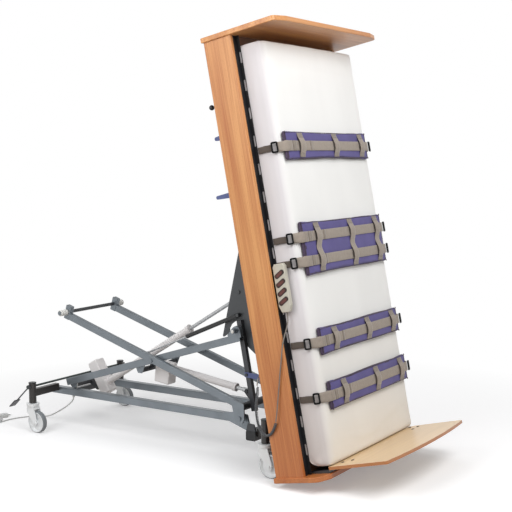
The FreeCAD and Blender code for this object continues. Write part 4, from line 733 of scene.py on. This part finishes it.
BED = Matrix.Translation(BED_FOOT) @ Matrix.Rotation(LEAN, 4, "Y")
ACROSS_STRAP = Vector((1, 0, 0))
DECK = 0.1543
MATTRESS_TOP = 0.286
MATTRESS_SIDE = 0.443
MATTRESS_ENDS = (0.0312, 2.060)
SHOULDER, FAR_SHOULDER, FOOT_SHOULDER = 0.052, 0.017, 0.003
TOP_ROUND, END_ROUND = 0.017, 0.02
FOOT_ROUND = 0.08
CROWN = 0.005
PAD_THICK = 0.022
# the pads' lower and upper ends, near and far edges
PADS = (
    (1.4800, 1.6221, -0.4040, 0.4060), (0.9270, 1.1860, -0.3940, 0.4200),
    (0.5460, 0.6800, -0.3860, 0.4320), (0.2840, 0.4260, -0.3800, 0.4380),
)
# which pad each strap crosses, and where along the bed
STRAPS = ((0, 1.5480), (1, 1.1120), (1, 0.9960), (2, 0.6130), (3, 0.3550))
STRAP_WIDE, WEB_WIDE, WEB_THICK = 0.048, 0.032, 0.0018
BUCKLE_TURN = radians(30)
LOOP_SHARES = (-0.69, 0.12, 0.8)
PIPE_R, PIPE_INSET, PIPE_CORNER = 0.0016, 0.0032, 0.009
# the foot plate's screws across and out from the bed
PLATE_SCREWS = (
    (-0.3559, 0.040), (0.3906, 0.032), (0.3906, 0.080), (-0.330, 0.080), (0.330, 0.080)
)
# cloth: the filling's pressure, how far it may push, and its frames
PRESSURE, PUFF, FRAMES = 4.0, 0.006, 20


def crown(y, lift=0.0):
    """Height of the mattress face, which is bowed across the bed."""
    half = MATTRESS_SIDE - SHOULDER
    r = (half * half + CROWN * CROWN) / (2 * CROWN)
    return MATTRESS_TOP + CROWN - r + sqrt((r + lift) ** 2 - y * y)


def between(low, value, high):
    return max(low, min(high, value))


def fill(form, held):
    """Blow a form up as its filling does: held points stay, the rest move up to PUFF."""
    start = [v.co.copy() for v in form.data.vertices]
    group = form.vertex_groups.new(name="held")
    group.add([i for i, p in enumerate(start) if held(p)], 1.0, "REPLACE")
    cloth = form.modifiers.new("filling", "CLOTH")
    c = cloth.settings
    c.quality = 4
    c.use_pressure = True
    c.uniform_pressure_force = PRESSURE
    c.vertex_group_mass = group.name
    c.effector_weights.gravity = 0
    cloth.collision_settings.use_collision = False
    cloth.point_cache.frame_start = 1
    cloth.point_cache.frame_end = FRAMES
    scene = bpy.context.scene
    for k in range(1, FRAMES + 1):
        scene.frame_set(k)
    blown = plain(form)
    form.modifiers.remove(cloth)
    form.vertex_groups.remove(group)
    for v, b, p in zip(form.data.vertices, blown.vertices, start):
        step = b.co - p
        if step.length > PUFF:
            step *= PUFF / step.length
        v.co = p + step
    bpy.data.meshes.remove(blown)
    scene.frame_set(1)
    return start


def set_up(form, replaces):
    """Move a soft form from the bed's frame onto the bed, smooth, and let it ride."""
    form.data.transform(BED)
    form.data.update()
    form.data.shade_smooth()
    sub = form.modifiers.new("smooth", "SUBSURF")
    sub.levels = sub.render_levels = 1
    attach(form, "bed")
    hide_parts(replaces)


def side_profile(foot, shoulder, step):
    """Half the mattress section as y and z, with its outward way, from the middle of the
    underside round to the middle of the top."""
    high = MATTRESS_TOP - shoulder
    inner, face = MATTRESS_SIDE - foot, MATTRESS_SIDE - shoulder
    half = [(inner * k, DECK, 0.0, -1.0) for k in [k / 10 for k in range(10)] + [0.97]]
    for k in range(1, 4):
        p, q = sin(pi / 2 * k / 3), cos(pi / 2 * k / 3)
        half.append((inner + foot * p, DECK + foot - foot * q, p, -q))
    # behind the slots of the deck's lip the border stands straight
    low = DECK + 0.019
    half += [(MATTRESS_SIDE, DECK + 0.009, 1.0, 0.0), (MATTRESS_SIDE, low, 1.0, 0.0)]
    n = max(4, int((high - low) / step))
    for k in range(1, n):
        f = k / n
        half.append((MATTRESS_SIDE + 0.016 * f * (1 - f), low + (high - low) * f, 1.0, 0.0))
    for k in range(8):
        p, q = cos(pi / 2 * k / 7), sin(pi / 2 * k / 7)
        half.append((face + shoulder * p, high + shoulder * q, p, q))
    half += [(face * (1 - k / 16), crown(face * (1 - k / 16)), 0.0, 1.0) for k in range(1, 17)]
    return half


def mattress_stations(step):
    """Places along the mattress, and how far the section is drawn in at each."""
    low, high = -MATTRESS_ENDS[1], -MATTRESS_ENDS[0]
    bends = (0.15, 0.5, 1.0, pi / 2)
    out = [(low + TOP_ROUND * (1 - cos(a)), TOP_ROUND * (1 - sin(a))) for a in bends]
    run = high - low - TOP_ROUND - END_ROUND
    n = int(run / step)
    out += [(low + TOP_ROUND + run * k / n, 0.0) for k in range(1, n)]
    ends = [(high - END_ROUND * (1 - cos(a)), END_ROUND * (1 - sin(a))) for a in bends]
    return out + ends[::-1]


class TILT_OT_mattress(bpy.types.Operator):
    """Foam mattress in its white knit cover"""

    bl_idname = "tilt_table.mattress"
    bl_label = "Mattress"

    def execute(self, context):
        step = settings().mattress_step
        # the near side, y below zero, has the full shoulder
        near, far = (side_profile(FOOT_SHOULDER, r, step) for r in (SHOULDER, FAR_SHOULDER))
        profile = far + [(-y, z, -p, q) for y, z, p, q in near[-2:0:-1]]
        bm = bmesh.new()
        rings = []
        for x, inset in mattress_stations(step):
            # the underside is rounded up at the foot end
            over = max(0.0, FOOT_ROUND + MATTRESS_ENDS[0] + x)
            rise = FOOT_ROUND - sqrt(max(FOOT_ROUND**2 - over**2, 0.0))
            squash = 1 - rise * 0.8 / (MATTRESS_TOP - DECK)
            ring = []
            for y, z, p, q in profile:
                if z < MATTRESS_TOP:
                    z = MATTRESS_TOP - (MATTRESS_TOP - z) * squash
                ring.append(bm.verts.new((x, y - p * inset, z - q * inset)))
            rings.append(ring)
        skin(bm, rings, closed=False)
        form = linked("mattress_cover", mesh_from(bm, "mattress_cover"))
        start = fill(form, lambda p: p.z < DECK + 0.022)
        self.settle(form, start)
        form.data.materials.append(knit_cover("knitted_mattress_cover"))
        set_up(form, "mattress")
        return {"FINISHED"}

    def settle(self, form, start):
        """Keep the blown cover within its own lines, draw it in a little here and there, and
        crease it at the shoulder and the corners."""
        give = 0.003
        for v, first in zip(form.data.vertices, start):
            x, y, z = first
            if z < DECK + 0.024:
                v.co = first
                continue
            slow = noise.noise(Vector((x * 2.4, y * 3.1, z * 9.0)))
            fine = noise.noise(Vector((x * 9.0, y * 13.0, z * 18.0 + 5.0)))
            sink = max(0.0, 0.0013 * (slow + 0.5) + 0.0009 * (fine + 0.4))
            # creases run across the border, deeper near its ends
            ends = exp(-min(x + MATTRESS_ENDS[1], -MATTRESS_ENDS[0] - x) / 0.16)
            crease = noise.noise(Vector((x * 26.0 + z * 30.0, 2.0 * y, 7.0)))
            sink += max(0.0, crease) * (0.0012 + 0.0045 * ends)
            # one long fold runs down the near shoulder from the top corner
            turn = atan2(z - MATTRESS_TOP + SHOULDER, -y - MATTRESS_SIDE + SHOULDER)
            top = (x + MATTRESS_ENDS[1]) / 0.28
            fold = 0.0045 * exp(-(((turn - 1.15 + 0.1 * top) / 0.16) ** 2) - top * top)
            step = v.co - first
            side = abs(y) > MATTRESS_SIDE - 0.012
            way = 1 if y > 0 else -1
            x += between(-give, step.x, give) * 0.5
            y += (between(-give, step.y * way, 0.0) - (sink if side else 0.0)) * way
            z += between(-give, step.z, 0.0) - (0.0 if side else sink * 0.7)
            z -= fold if way < 0 else 0.0
            v.co = (between(-MATTRESS_ENDS[1], x, -MATTRESS_ENDS[0]), y, z)


class TILT_OT_pads(bpy.types.Operator):
    """Four padded cushions under the straps, with their dark edge tape and piping"""

    bl_idname = "tilt_table.pads"
    bl_label = "Strap pads"

    def execute(self, context):
        s = settings()
        tape = coated_fabric("edge_tape_dark", s.binding)
        mats = coated_fabric("coated_polyester_violet", s.pad), tape
        for k, (s0, s1, y0, y1) in enumerate(PADS):
            name = "strap_pad_%d" % (k + 1)
            form = self.remeshed(name, s0, s1, s.pad_voxel)
            self.cushion(form, k)
            for m in mats:
                form.data.materials.append(m)
            for f in form.data.polygons:
                h = f.center.z - crown(f.center.y)
                flat = abs(f.normal.z) < 0.62
                bound = f.center.y < y0 + 0.014 + 0.003 * sin(f.center.x * 40)
                if (flat and h < 0.0185) or h < 0.003 or bound:
                    f.material_index = 1
            set_up(form, "strap_pads")
            self.piping(name + "_piping", tape, s0, s1, y0, y1)
        return {"FINISHED"}

    def remeshed(self, name, s0, s1, voxel):
        """The CAD pad between s0 and s1 in the bed's frame, remeshed."""
        bm = bmesh.new()
        bm.from_mesh(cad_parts["strap_pads"].data)
        bm.transform(BED.inverted())
        bmesh.ops.remove_doubles(bm, verts=bm.verts, dist=1e-5)
        out = [v for v in bm.verts if not s0 - 0.02 < -v.co.x < s1 + 0.02]
        bmesh.ops.delete(bm, geom=out, context="VERTS")
        raw = linked(name, mesh_from(bm, name + "_raw"))
        even = raw.modifiers.new("voxels", "REMESH")
        even.mode = "VOXEL"
        even.voxel_size = voxel
        mesh = plain(raw)
        bpy.data.meshes.remove(raw.data)
        mesh.name = name
        return linked(name, mesh)

    def cushion(self, form, k):
        """Blow a pad up. Then draw its long edges in a little between the loops, sink its
        top under each strap, and keep everything off the mattress and the straps."""
        s0, s1, y0, y1 = PADS[k]
        places = [at for n, at in STRAPS if n == k]
        middle, half = -(s0 + s1) / 2, (s1 - s0) / 2
        for v in form.data.vertices:
            h = v.co.z - crown(v.co.y)
            if h > 0.004:
                v.co.z -= 0.004 * (h - 0.004) / (PAD_THICK - 0.004)
            v.co.x = middle + (v.co.x - middle) * (1 - 0.004 / (s1 - s0))
        corners = [(-a, y) for a in (s0, s1) for y in (y0, y1)]

        def held(p):
            near = min(hypot(p.x - a, p.y - y) for a, y in corners)
            return p.z - crown(p.y) < 0.002 or near < 0.02

        fill(form, held)
        for v in form.data.vertices:
            p = v.co
            base = crown(p.y)
            h = p.z - base
            along = (p.y - y0) / (y1 - y0)
            draw = 0.0012 * noise.noise(Vector((p.y * 14, k * 3.0, 0)))
            draw += 0.0022 * sin(along * 9.0 + k)
            p.x += draw * (p.x - middle) / half
            p.x = between(middle - half, p.x, middle + half)
            p.y = between(y0, p.y, y1)
            if h > 0.006:
                h += 0.0008 * noise.noise(Vector((p.x * 22, p.y * 12, k * 5.0))) - 0.0005
            for at in places:
                out = STRAP_WIDE / 2 + 0.012 - abs(-p.x - at)
                if out > 0 and h > 0.012:
                    h = min(h, PAD_THICK - 0.0012 * min(1.0, out / 0.012))
            p.z = base + between(0.0006, h, PAD_THICK)

    def piping(self, name, tape, s0, s1, y0, y1):
        """A 3 mm round tape sewn along the upper edge all the way round."""
        reach = PIPE_CORNER - PIPE_INSET
        pts = []
        for cx, cy in ((s1, y1), (s1, y0), (s0, y0), (s0, y1)):
            sx, sy = (-1 if cx == s1 else 1), (-1 if cy == y1 else 1)
            arc = []
            for j in range(5):
                a = radians(22.5 * j)
                u, v = PIPE_CORNER - reach * cos(a), PIPE_CORNER - reach * sin(a)
                arc.append((cx + sx * u, cy + sy * v))
            pts += arc if sx == sy else arc[::-1]
        line = []
        for (a, y), (b, z) in zip(pts, pts[1:] + pts[:1]):
            steps = max(1, int(hypot(b - a, z - y) / 0.02))
            for j in range(steps):
                u, v = a + (b - a) * j / steps, y + (z - y) * j / steps
                line.append(Vector((-u, v, crown(v, PAD_THICK) - 0.0032)))
        bm = bmesh.new()
        rings = []
        for p, a, b in zip(line, line[-1:] + line[:-1], line[1:] + line[:1]):
            way = (b - a).normalized()
            out = way.cross(UP).normalized()
            up = out.cross(way)
            turns = (TURN * j / 8 for j in range(8))
            off = [(out * cos(a) + up * sin(a)) * PIPE_R for a in turns]
            rings.append([bm.verts.new(p + r) for r in off])
        skin(bm, rings)
        finished(bm, name, [tape], "pad_cover").data.shade_smooth()


def taut(points):
    """The line a tight strap takes over points that it may not cut, from the first to the
    last across the bed."""
    hull = []
    for p in sorted(points):
        while len(hull) > 1:
            (a, b), (c, d) = hull[-2:]
            if (c - a) * (p[1] - b) - (d - b) * (p[0] - a) < 0:
                break
            hull.pop()
        hull.append(p)
    return hull


def ribbon(bm, line, wide, across, thick, lift=0.0, slot=0):
    """Flat webbing along a line of points: wide is its width at each point or one for all,
    across the way of its width. Its UV map is in metres."""
    uv = bm.loops.layers.uv.verify()
    last = len(line) - 1
    widths = wide if isinstance(wide, list) else [wide] * len(line)
    far = 0.0
    rows = []
    for i, p in enumerate(line):
        far += (p - line[max(i - 1, 0)]).length
        way = (line[min(i + 1, last)] - line[max(i - 1, 0)]).normalized()
        up = across.cross(way).normalized()
        if up.z < -0.05 or (abs(up.z) <= 0.05 and up.y * p.y < 0):
            up = -up
        w = widths[i] / 2
        e = w - 0.0007
        row = []
        for u, h in (
            (-w, 0.3), (-w, 0.7), (-e, 1.0), (-w * 0.4, 1.0), (w * 0.4, 1.0),
            (e, 1.0), (w, 0.7), (w, 0.3), (e, 0.0), (-e, 0.0),
        ):
            row.append((bm.verts.new(p + across * u + up * (lift + thick * h)), (u, far)))
        rows.append(row)
    faces = [rows[0], rows[-1]]
    for a, b in zip(rows, rows[1:]):
        faces += zip(a, a[1:] + a[:1], b[1:] + b[:1], b)
    for corners in faces:
        f = bm.faces.new([v for v, _ in corners])
        f.material_index = slot
        f.smooth = len(corners) == 4
        for loop, (_, place) in zip(f.loops, corners):
            loop[uv].uv = place


def spread(line, step):
    """Points about a step apart along a polyline of y and z, its corners eased."""
    pts = [Vector((0, a, b)) for a, b in line]
    out = [p for p, _ in evenly(pts, max(2, int(length_of(pts) / step)))]
    for _ in range(2):
        out[1:-1] = [(a + b * 2 + c) / 4 for a, b, c in zip(out, out[1:], out[2:])]
    return out


def shoulder_point(a, lift):
    r = SHOULDER + lift
    return (SHOULDER - MATTRESS_SIDE - r * cos(a), MATTRESS_TOP - SHOULDER + r * sin(a))


def over_pad(pad, at):
    """A strap's line, from its near buckle over its pad and down the far side."""
    y0, y1 = pad[2:]
    pts = [
        shoulder_point(BUCKLE_TURN + radians(a), 0.0005) for a in (12.5, 18, 24, 32, 40, 48, 56)
    ]
    r = 0.009
    top = crown(y0, PAD_THICK)
    for a in (20, 45, 70, 90):
        t = radians(a)
        pts.append((y0 + r - (r + 0.0003) * cos(t), top - r + (r + 0.0003) * sin(t)))
    for i in range(1, 12):
        y = y0 + r + (y1 - y0 - r) * i / 12
        pts.append((y, crown(y, PAD_THICK + 0.0003)))
    edge = crown(y1, PAD_THICK)
    pts += [(y1, edge), (y1 + 0.006, edge - 0.0018)]
    ends = [(y1 + 0.022, edge - 0.0115), (y1 + 0.036, edge - 0.02)]
    ends.append((MATTRESS_SIDE + 0.0062, DECK + 0.034))
    return [Vector((-at, p.y, p.z)) for p in spread(taut(pts) + ends, 0.006)]


def loop_places():
    """Each loop's number, its pad, its place across the bed and the height of its foot."""
    for k, pad in enumerate(PADS):
        y0, y1 = pad[2:]
        for j, share in enumerate(LOOP_SHARES):
            y = (y0 + y1) / 2 + share * (y1 - y0) / 2
            yield "%d_%d" % (k + 1, j + 1), k, y, crown(abs(y) - STRAP_WIDE / 2, PAD_THICK)


class TILT_OT_straps(bpy.types.Operator):
    """Five webbing straps with their dark side webs, tabs and sewn loops"""

    bl_idname = "tilt_table.straps"
    bl_label = "Straps"

    def execute(self, context):
        s = settings()
        light = webbing("polyester_webbing_taupe", s.webbing)
        pale = webbing("polyester_webbing_tab", shade(s.webbing, 0.96))
        deep = webbing("polyester_webbing_shaded", shade(s.webbing, 0.8))
        dark = webbing("polyester_webbing_brown", s.webbing_dark)
        for n, (k, at) in enumerate(STRAPS):
            bm = bmesh.new()
            line = over_pad(PADS[k], at)
            ribbon(bm, line, STRAP_WIDE, ACROSS_STRAP, WEB_THICK, 0.0006)
            self.sewn(bm, line, n % 3 * 3)
            finished(bm, "strap_%d" % (n + 1), [light, pale, deep], "webbing", "pad_straps")
            out = -MATTRESS_SIDE - 0.0045
            web = [(out, DECK + 0.022), (out, MATTRESS_TOP - SHOULDER - 0.016)]
            web += [shoulder_point(a, 0.0005) for a in (0.12, 0.25, BUCKLE_TURN - 0.2)]
            web = enumerate(spread(web, 0.006))
            line = [Vector((-at + 0.0006 * sin(i * 0.7), p.y, p.z)) for i, p in web]
            bm = bmesh.new()
            ribbon(bm, line, WEB_WIDE, ACROSS_STRAP, WEB_THICK, 0.0006)
            finished(bm, "side_web_%d" % (n + 1), [dark], "webbing", "pad_straps")
        self.loops(light, deep)
        return {"FINISHED"}

    def sewn(self, bm, line, back):
        """The near end, folded back through the buckle and sewn down: from 33 mm at the
        buckle to a 51.5 mm wing and then nearly the strap's width. Behind it and past the
        first loop, doubled webbing is sewn on."""
        widths = []
        for i in range(16):
            f = i / 15
            widths.append(0.033 + 0.0185 * min(1.0, f / 0.45) if f < 0.62 else 0.0495)
        ribbon(bm, line[:16], widths, ACROSS_STRAP, 0.0016, 0.0026, slot=1)
        for part in (line[16:22], line[42 - back : 46 - back]):
            ribbon(bm, part, STRAP_WIDE + 0.001, ACROSS_STRAP, 0.0014, 0.0026, slot=2)

    def loops(self, light, deep):
        """Bands of the same webbing sewn to each pad, arched over its straps."""
        rise = 0.0138
        along = Vector((0, 1, 0))
        for tag, k, y, base in loop_places():
            s0, s1 = PADS[k][:2]
            held = sorted(at for n, at in STRAPS if n == k)
            middle = (held[0] + held[-1]) / 2
            line = [(s0 + 0.012, 0.0), (s0 + 0.022, 0.0)]
            for at in held:
                if at > held[0]:
                    line += [(middle - 0.008, 0.0), (middle + 0.008, 0.0)]
                line += [(at - 0.027, rise * 0.62), (at - 0.012, rise)]
                line += [(at + 0.012, rise), (at + 0.027, rise * 0.62)]
            line += [(s1 - 0.022, 0.0), (s1 - 0.012, 0.0)]
            pts = [Vector((-p.y, y, base + 0.0006 + p.z)) for p in spread(line, 0.005)]
            bm = bmesh.new()
            ribbon(bm, pts, STRAP_WIDE, along, WEB_THICK)
            for part in (pts[:6], pts[-6:]):
                ribbon(bm, part, STRAP_WIDE - 0.004, along, 0.0008, WEB_THICK, slot=1)
            finished(bm, "pad_loop_" + tag, [light, deep], "webbing", "pad_straps")


def ladder_lock(ridges, wall):
    """One ladder-lock buckle in its own frame: a rounded frame 54 by 34 mm with its bars."""
    hx, hy, t, soft = 0.027, 0.017, 0.0048, 0.0012
    bm = bmesh.new()

    def ring(cut, r, z):
        x, y = hx - cut - r, hy - cut - r
        pts = []
        for k, (cx, cy) in enumerate(((x, y), (-x, y), (-x, -y), (x, -y))):
            for i in range(7):
                a = radians(90 * k + 15 * i)
                pts.append(bm.verts.new((cx + r * cos(a), cy + r * sin(a), z)))
        return pts

    inner = wall - 0.001
    skin(bm, [
        ring(0.0008, 0.007, 0), ring(0, 0.008, soft), ring(0, 0.008, t - soft),
        ring(0.001, 0.007, t), ring(inner, 0.0035, t), ring(wall, 0.003, t - soft),
        ring(wall, 0.003, soft), ring(inner, 0.0035, 0),
    ])
    for y in ridges:
        span = 2 * (hx - wall + soft)
        bar = bmesh.ops.create_cone(
            bm, cap_ends=True, segments=10, radius1=0.0023, radius2=0.0023, depth=span
        )
        place = Matrix.Translation((0, y, t * 0.5)) @ Matrix.Rotation(pi / 2, 4, "Y")
        flat = Matrix.Diagonal((1.15, 0.9, 1, 1))
        bmesh.ops.transform(bm, matrix=place @ flat, verts=bar["verts"])
    return mesh_from(bm, "ladder_lock")


def lathe(name, profile, sides=20):
    """A mesh turned about z from points of radius and height, closed."""
    bm = bmesh.new()
    ways = [(cos(TURN * k / sides), sin(TURN * k / sides)) for k in range(sides)]
    skin(bm, [[bm.verts.new((r * x, r * y, z)) for x, y in ways] for r, z in profile])
    return mesh_from(bm, name)


def repeated(name, piece, places, mat, slot, *replaces):
    """Geometry Nodes: a piece's mesh on each place, a matrix, joined into one plain mesh."""
    spots = bpy.data.meshes.new(name + "_points")
    spots.from_pydata([m.translation for m in places], [], [])
    turns = spots.attributes.new("turn", "FLOAT_VECTOR", "POINT")
    for item, m in zip(turns.data, places):
        item.vector = m.to_euler()
    source = linked(name + "_piece", piece)
    holder = linked(name + "_places", spots)
    tree = bpy.data.node_groups.new(name + "_on_places", "GeometryNodeTree")
    values = {"Geometry": None, "Piece": source, "Size": 1.0, "Finish": mat}
    for label, kind in zip(values, ("Geometry", "Object", "Float", "Material")):
        tree.interface.new_socket(label, in_out="INPUT", socket_type="NodeSocket" + kind)
    tree.interface.new_socket("Geometry", in_out="OUTPUT", socket_type="NodeSocketGeometry")
    start = add(tree, "NodeGroupInput").outputs
    info = add(tree, "GeometryNodeObjectInfo", {"Object": start["Piece"]})
    way = add(tree, "GeometryNodeInputNamedAttribute", {"Name": "turn"}, data_type="FLOAT_VECTOR")
    rot = add(tree, "FunctionNodeEulerToRotation", {0: way.outputs[0]})
    each = add(tree, "GeometryNodeInstanceOnPoints", {
        "Points": start["Geometry"], "Instance": info.outputs["Geometry"],
        "Rotation": rot.outputs[0], "Scale": start["Size"],
    })
    real = add(tree, "GeometryNodeRealizeInstances", {"Geometry": each.outputs[0]})
    sockets = {"Geometry": real.outputs[0], "Material": start["Finish"]}
    dressed = add(tree, "GeometryNodeSetMaterial", sockets)
    add(tree, "NodeGroupOutput", {0: dressed.outputs[0]})
    mod = holder.modifiers.new("places", "NODES")
    mod.node_group = tree
    for item in tree.interface.items_tree:
        if item.in_out == "INPUT" and values[item.name] is not None:
            mod[item.identifier] = values[item.name]
    mesh = plain(holder)
    mesh.name = name
    holder.modifiers.remove(mod)
    bpy.data.objects.remove(holder)
    bpy.data.objects.remove(source)
    mesh.shade_smooth()
    mesh.set_sharp_from_angle(angle=radians(38))
    return shown(name, mesh, slot, *replaces)


class TILT_OT_buckles(bpy.types.Operator):
    """Black ladder-lock buckles at both ends of each strap"""

    bl_idname = "tilt_table.buckles"
    bl_label = "Buckles"

    def execute(self, context):
        # acetal is waxy: it shows little of the white room
        black = moulded("moulded_acetal_black", linear("#060607"), 0.6)
        black.node_tree.nodes[SHADER].inputs["Specular IOR Level"].default_value = 0.2
        # a far buckle hangs off its pad's edge at a slope, its middle out and its back up
        slope = atan2(0.011, 0.043)
        out, up = 0.023, 0.0032
        near, far = [], []
        for k, at in STRAPS:
            y, z = shoulder_point(BUCKLE_TURN, 0.0033)
            spot = Matrix.Translation((-at, y - 0.0005, z + 0.0015))
            near.append(BED @ spot @ Matrix.Rotation(pi / 2 - BUCKLE_TURN, 4, "X"))
            y1 = PADS[k][3]
            z = crown(y1, PAD_THICK) - out * tan(slope) + up * cos(slope)
            spot = Matrix.Translation((-at, y1 + out + up * sin(slope), z))
            far.append(BED @ spot @ Matrix.Rotation(-slope, 4, "X"))
        for name, lock, places in (
            ("near_buckles", ladder_lock((), 0.0085), near),
            ("far_buckles", ladder_lock((0.0,), 0.0072), far),
        ):
            repeated(name, lock, places, black, "black_plastic", "strap_buckles")
        return {"FINISHED"}


class TILT_OT_fixings(bpy.types.Operator):
    """Cup washers on the foot plate and the stitches of pads, straps and loops"""

    bl_idname = "tilt_table.fixings"
    bl_label = "Fixings and stitches"

    def execute(self, context):
        plate = Matrix.Translation((-0.030, 0, 0.257)) @ Matrix.Rotation(-PLATE_RISE, 4, "Y")
        face = Matrix.Rotation(-pi / 2, 4, "Y")
        places = [
            BED @ plate @ Matrix.Translation((-0.0002, y, z)) @ face for y, z in PLATE_SCREWS
        ]
        cup = lathe("cup_washer", (
            (0.0047, 0.0001), (0.0047, 0.0011), (0.0062, 0.0021), (0.0079, 0.0012), (0.0084, 0.0001)
        ))
        dark = powder_coat("browned_steel_washer", linear("#2A211B"), 0.4)
        repeated("plate_cup_washers", cup, places, dark, "chassis_dark")
        self.stitches()
        return {"FINISHED"}

    def stitches(self):
        """Lines of 2.6 mm stitches across each strap's tab and patch and at the loops' ends."""
        thread = cable_sheath("polyester_thread", shade(settings().webbing, 0.55))
        profile = ((0.0001, -0.0013), (0.0005, -0.0009), (0.0005, 0.0009), (0.0001, 0.0013))
        places = []

        def row(middle, way, up, count):
            out = way.cross(up).normalized()
            lie = Matrix((up, out, way)).transposed().to_4x4()
            for k in range(count):
                spot = middle + way * (k - (count - 1) / 2) * 0.0037
                places.append(BED @ Matrix.Translation(spot) @ lie)

        for k, at in STRAPS:
            line = over_pad(PADS[k], at)
            for i, height in ((11, 0.0044), (14, 0.0044), (17, 0.0041), (20, 0.0041)):
                up = ACROSS_STRAP.cross((line[i + 1] - line[i]).normalized())
                up = -up if up.z < 0 else up
                row(line[i] + up * height, ACROSS_STRAP, up, 11)
        for _, k, y, base in loop_places():
            s0, s1 = PADS[k][:2]
            for a in (s0 + 0.016, s0 + 0.026, s1 - 0.026, s1 - 0.016):
                row(Vector((-a, y, base + 0.0034)), Vector((0, 1, 0)), UP, 10)
        repeated("webbing_stitches", lathe("stitch", profile, 5), places, thread, "webbing")


# Stage: the room, the lamps and the camera

FLOOR_HALF = 14
# each lamp's place, size and power
LAMPS = {
    "key_softbox": ((3.2, -1.4, 4.2), 2.4, 134),
    "side_softbox": ((-0.5, -3.6, 2.9), 2.2, 74),
    "top_softbox": ((-0.8, 1.2, 4.4), 3.0, 34),
}
LAMPS_AIM = Vector((0.1, 0, 0.9))
CAMERA_AT = (3.2395, -4.5209, 1.5632)
CAMERA_AZ, CAMERA_EL, CAMERA_ROLL = radians(33.82), radians(5.38), radians(-0.51)
CAMERA_LENS = 72.34


class TILT_OT_stage(bpy.types.Operator):
    """Pale floor, soft lamps and the camera at the photograph's angle"""

    bl_idname = "tilt_table.stage"
    bl_label = "Stage"

    def execute(self, context):
        scene = context.scene
        scene.view_settings.view_transform = "Standard"
        self.floor()
        self.world(scene)
        self.lamps()
        self.camera(scene)
        return {"FINISHED"}

    def floor(self):
        """The camera, gloss and glass see the floor lifted to white, apart from the object's
        shadow, and beyond the object it runs out to the white of the backdrop. What it
        throws back on the object is that of a plain grey studio floor."""
        mesh = bpy.data.meshes.new("studio_floor")
        h = FLOOR_HALF
        mesh.from_pydata([(-h, -h, 0), (h, -h, 0), (h, h, 0), (-h, h, 0)], [], [(0, 1, 2, 3)])
        m, t, where = material("matt_white_paper", 0.9)
        t.nodes[SHADER].inputs["Base Color"].default_value = (*linear("#F0F0F1"), 1)
        lift, white = (
            add(t, "ShaderNodeEmission", {"Color": (1, 1, 1, 1), "Strength": k})
            for k in (0.24, 1.0)
        )
        near = add(t, "ShaderNodeAddShader", {0: t.nodes[SHADER].outputs[0], 1: lift.outputs[0]})
        out = fade(t, vector(t, "LENGTH", where), 1.15, 2.7)
        grey = add(t, "ShaderNodeBsdfDiffuse", {"Color": (*linear("#ADA69F"), 1)})
        both = mix_shaders(t, seen_rays(t), grey, mix_shaders(t, out, near, white))
        t.links.new(both.outputs[0], t.nodes["Material Output"].inputs["Surface"])
        mesh.materials.append(m)
        linked("studio_floor", mesh)

    def world(self, scene):
        """White round the horizon, with a darker ceiling above; it lights less than it shows."""
        w = scene.world = bpy.data.worlds.new("white_studio")
        w.use_nodes = True
        t = w.node_tree
        t.nodes.clear()
        way = add(t, "ShaderNodeTexCoord").outputs["Generated"]
        high = add(t, "ShaderNodeSeparateXYZ", {0: way}).outputs[2]
        room = ramp(t, high, [(0.22, (1, 1, 1)), (0.75, (0.3, 0.3, 0.3))], "EASE")
        soft, white = (
            add(t, "ShaderNodeBackground", {"Color": room, "Strength": k}) for k in (0.72, 1.0)
        )
        both = mix_shaders(t, seen_rays(t), soft, white)
        add(t, "ShaderNodeOutputWorld", {"Surface": both.outputs[0]})

    def lamps(self):
        for name, (place, size, power) in LAMPS.items():
            d = bpy.data.lights.new(name, "AREA")
            d.energy = power
            d.size = size
            o = linked(name, d)
            o.location = place
            o.rotation_euler = (LAMPS_AIM - Vector(place)).to_track_quat("-Z", "Y").to_euler()

    def camera(self, scene):
        back = Matrix.Rotation(CAMERA_AZ, 3, "Z") @ Vector((0, -cos(CAMERA_EL), sin(CAMERA_EL)))
        right = UP.cross(back).normalized()
        turn = Matrix((right, back.cross(right), back)).transposed()
        d = bpy.data.cameras.new("photo_camera")
        d.sensor_width = 36
        d.lens = CAMERA_LENS
        o = scene.camera = linked("photo_camera", d)
        roll = Matrix.Rotation(CAMERA_ROLL, 4, "Z")
        o.matrix_world = Matrix.Translation(CAMERA_AT) @ turn.to_4x4() @ roll


OPERATORS = (
    TILT_OT_stage, TILT_OT_cords, TILT_OT_frame, TILT_OT_mattress,
    TILT_OT_pads, TILT_OT_straps, TILT_OT_buckles, TILT_OT_fixings,
)


class TILT_PT_panel(bpy.types.Panel):
    """Steps and finishes of the tilt table"""

    bl_label = "Tilt Table"
    bl_idname = "TILT_PT_panel"
    bl_space_type = "VIEW_3D"
    bl_region_type = "UI"
    bl_category = "Tilt Table"

    def draw(self, context):
        column = self.layout.column()
        for cls in OPERATORS:
            column.operator(cls.bl_idname)
        for name in TiltTableFinish.__annotations__:
            column.prop(context.scene.tilt_table, name)


CLASSES = (TiltTableFinish, *OPERATORS, TILT_PT_panel)


def register():
    for cls in CLASSES:
        bpy.utils.register_class(cls)
    bpy.types.Scene.tilt_table = PointerProperty(type=TiltTableFinish)


def unregister():
    del bpy.types.Scene.tilt_table
    for cls in reversed(CLASSES):
        bpy.utils.unregister_class(cls)


def main():
    register()
    for cls in OPERATORS:
        group, name = cls.bl_idname.split(".")
        getattr(getattr(bpy.ops, group), name)()


if __name__ == "__main__":
    main()
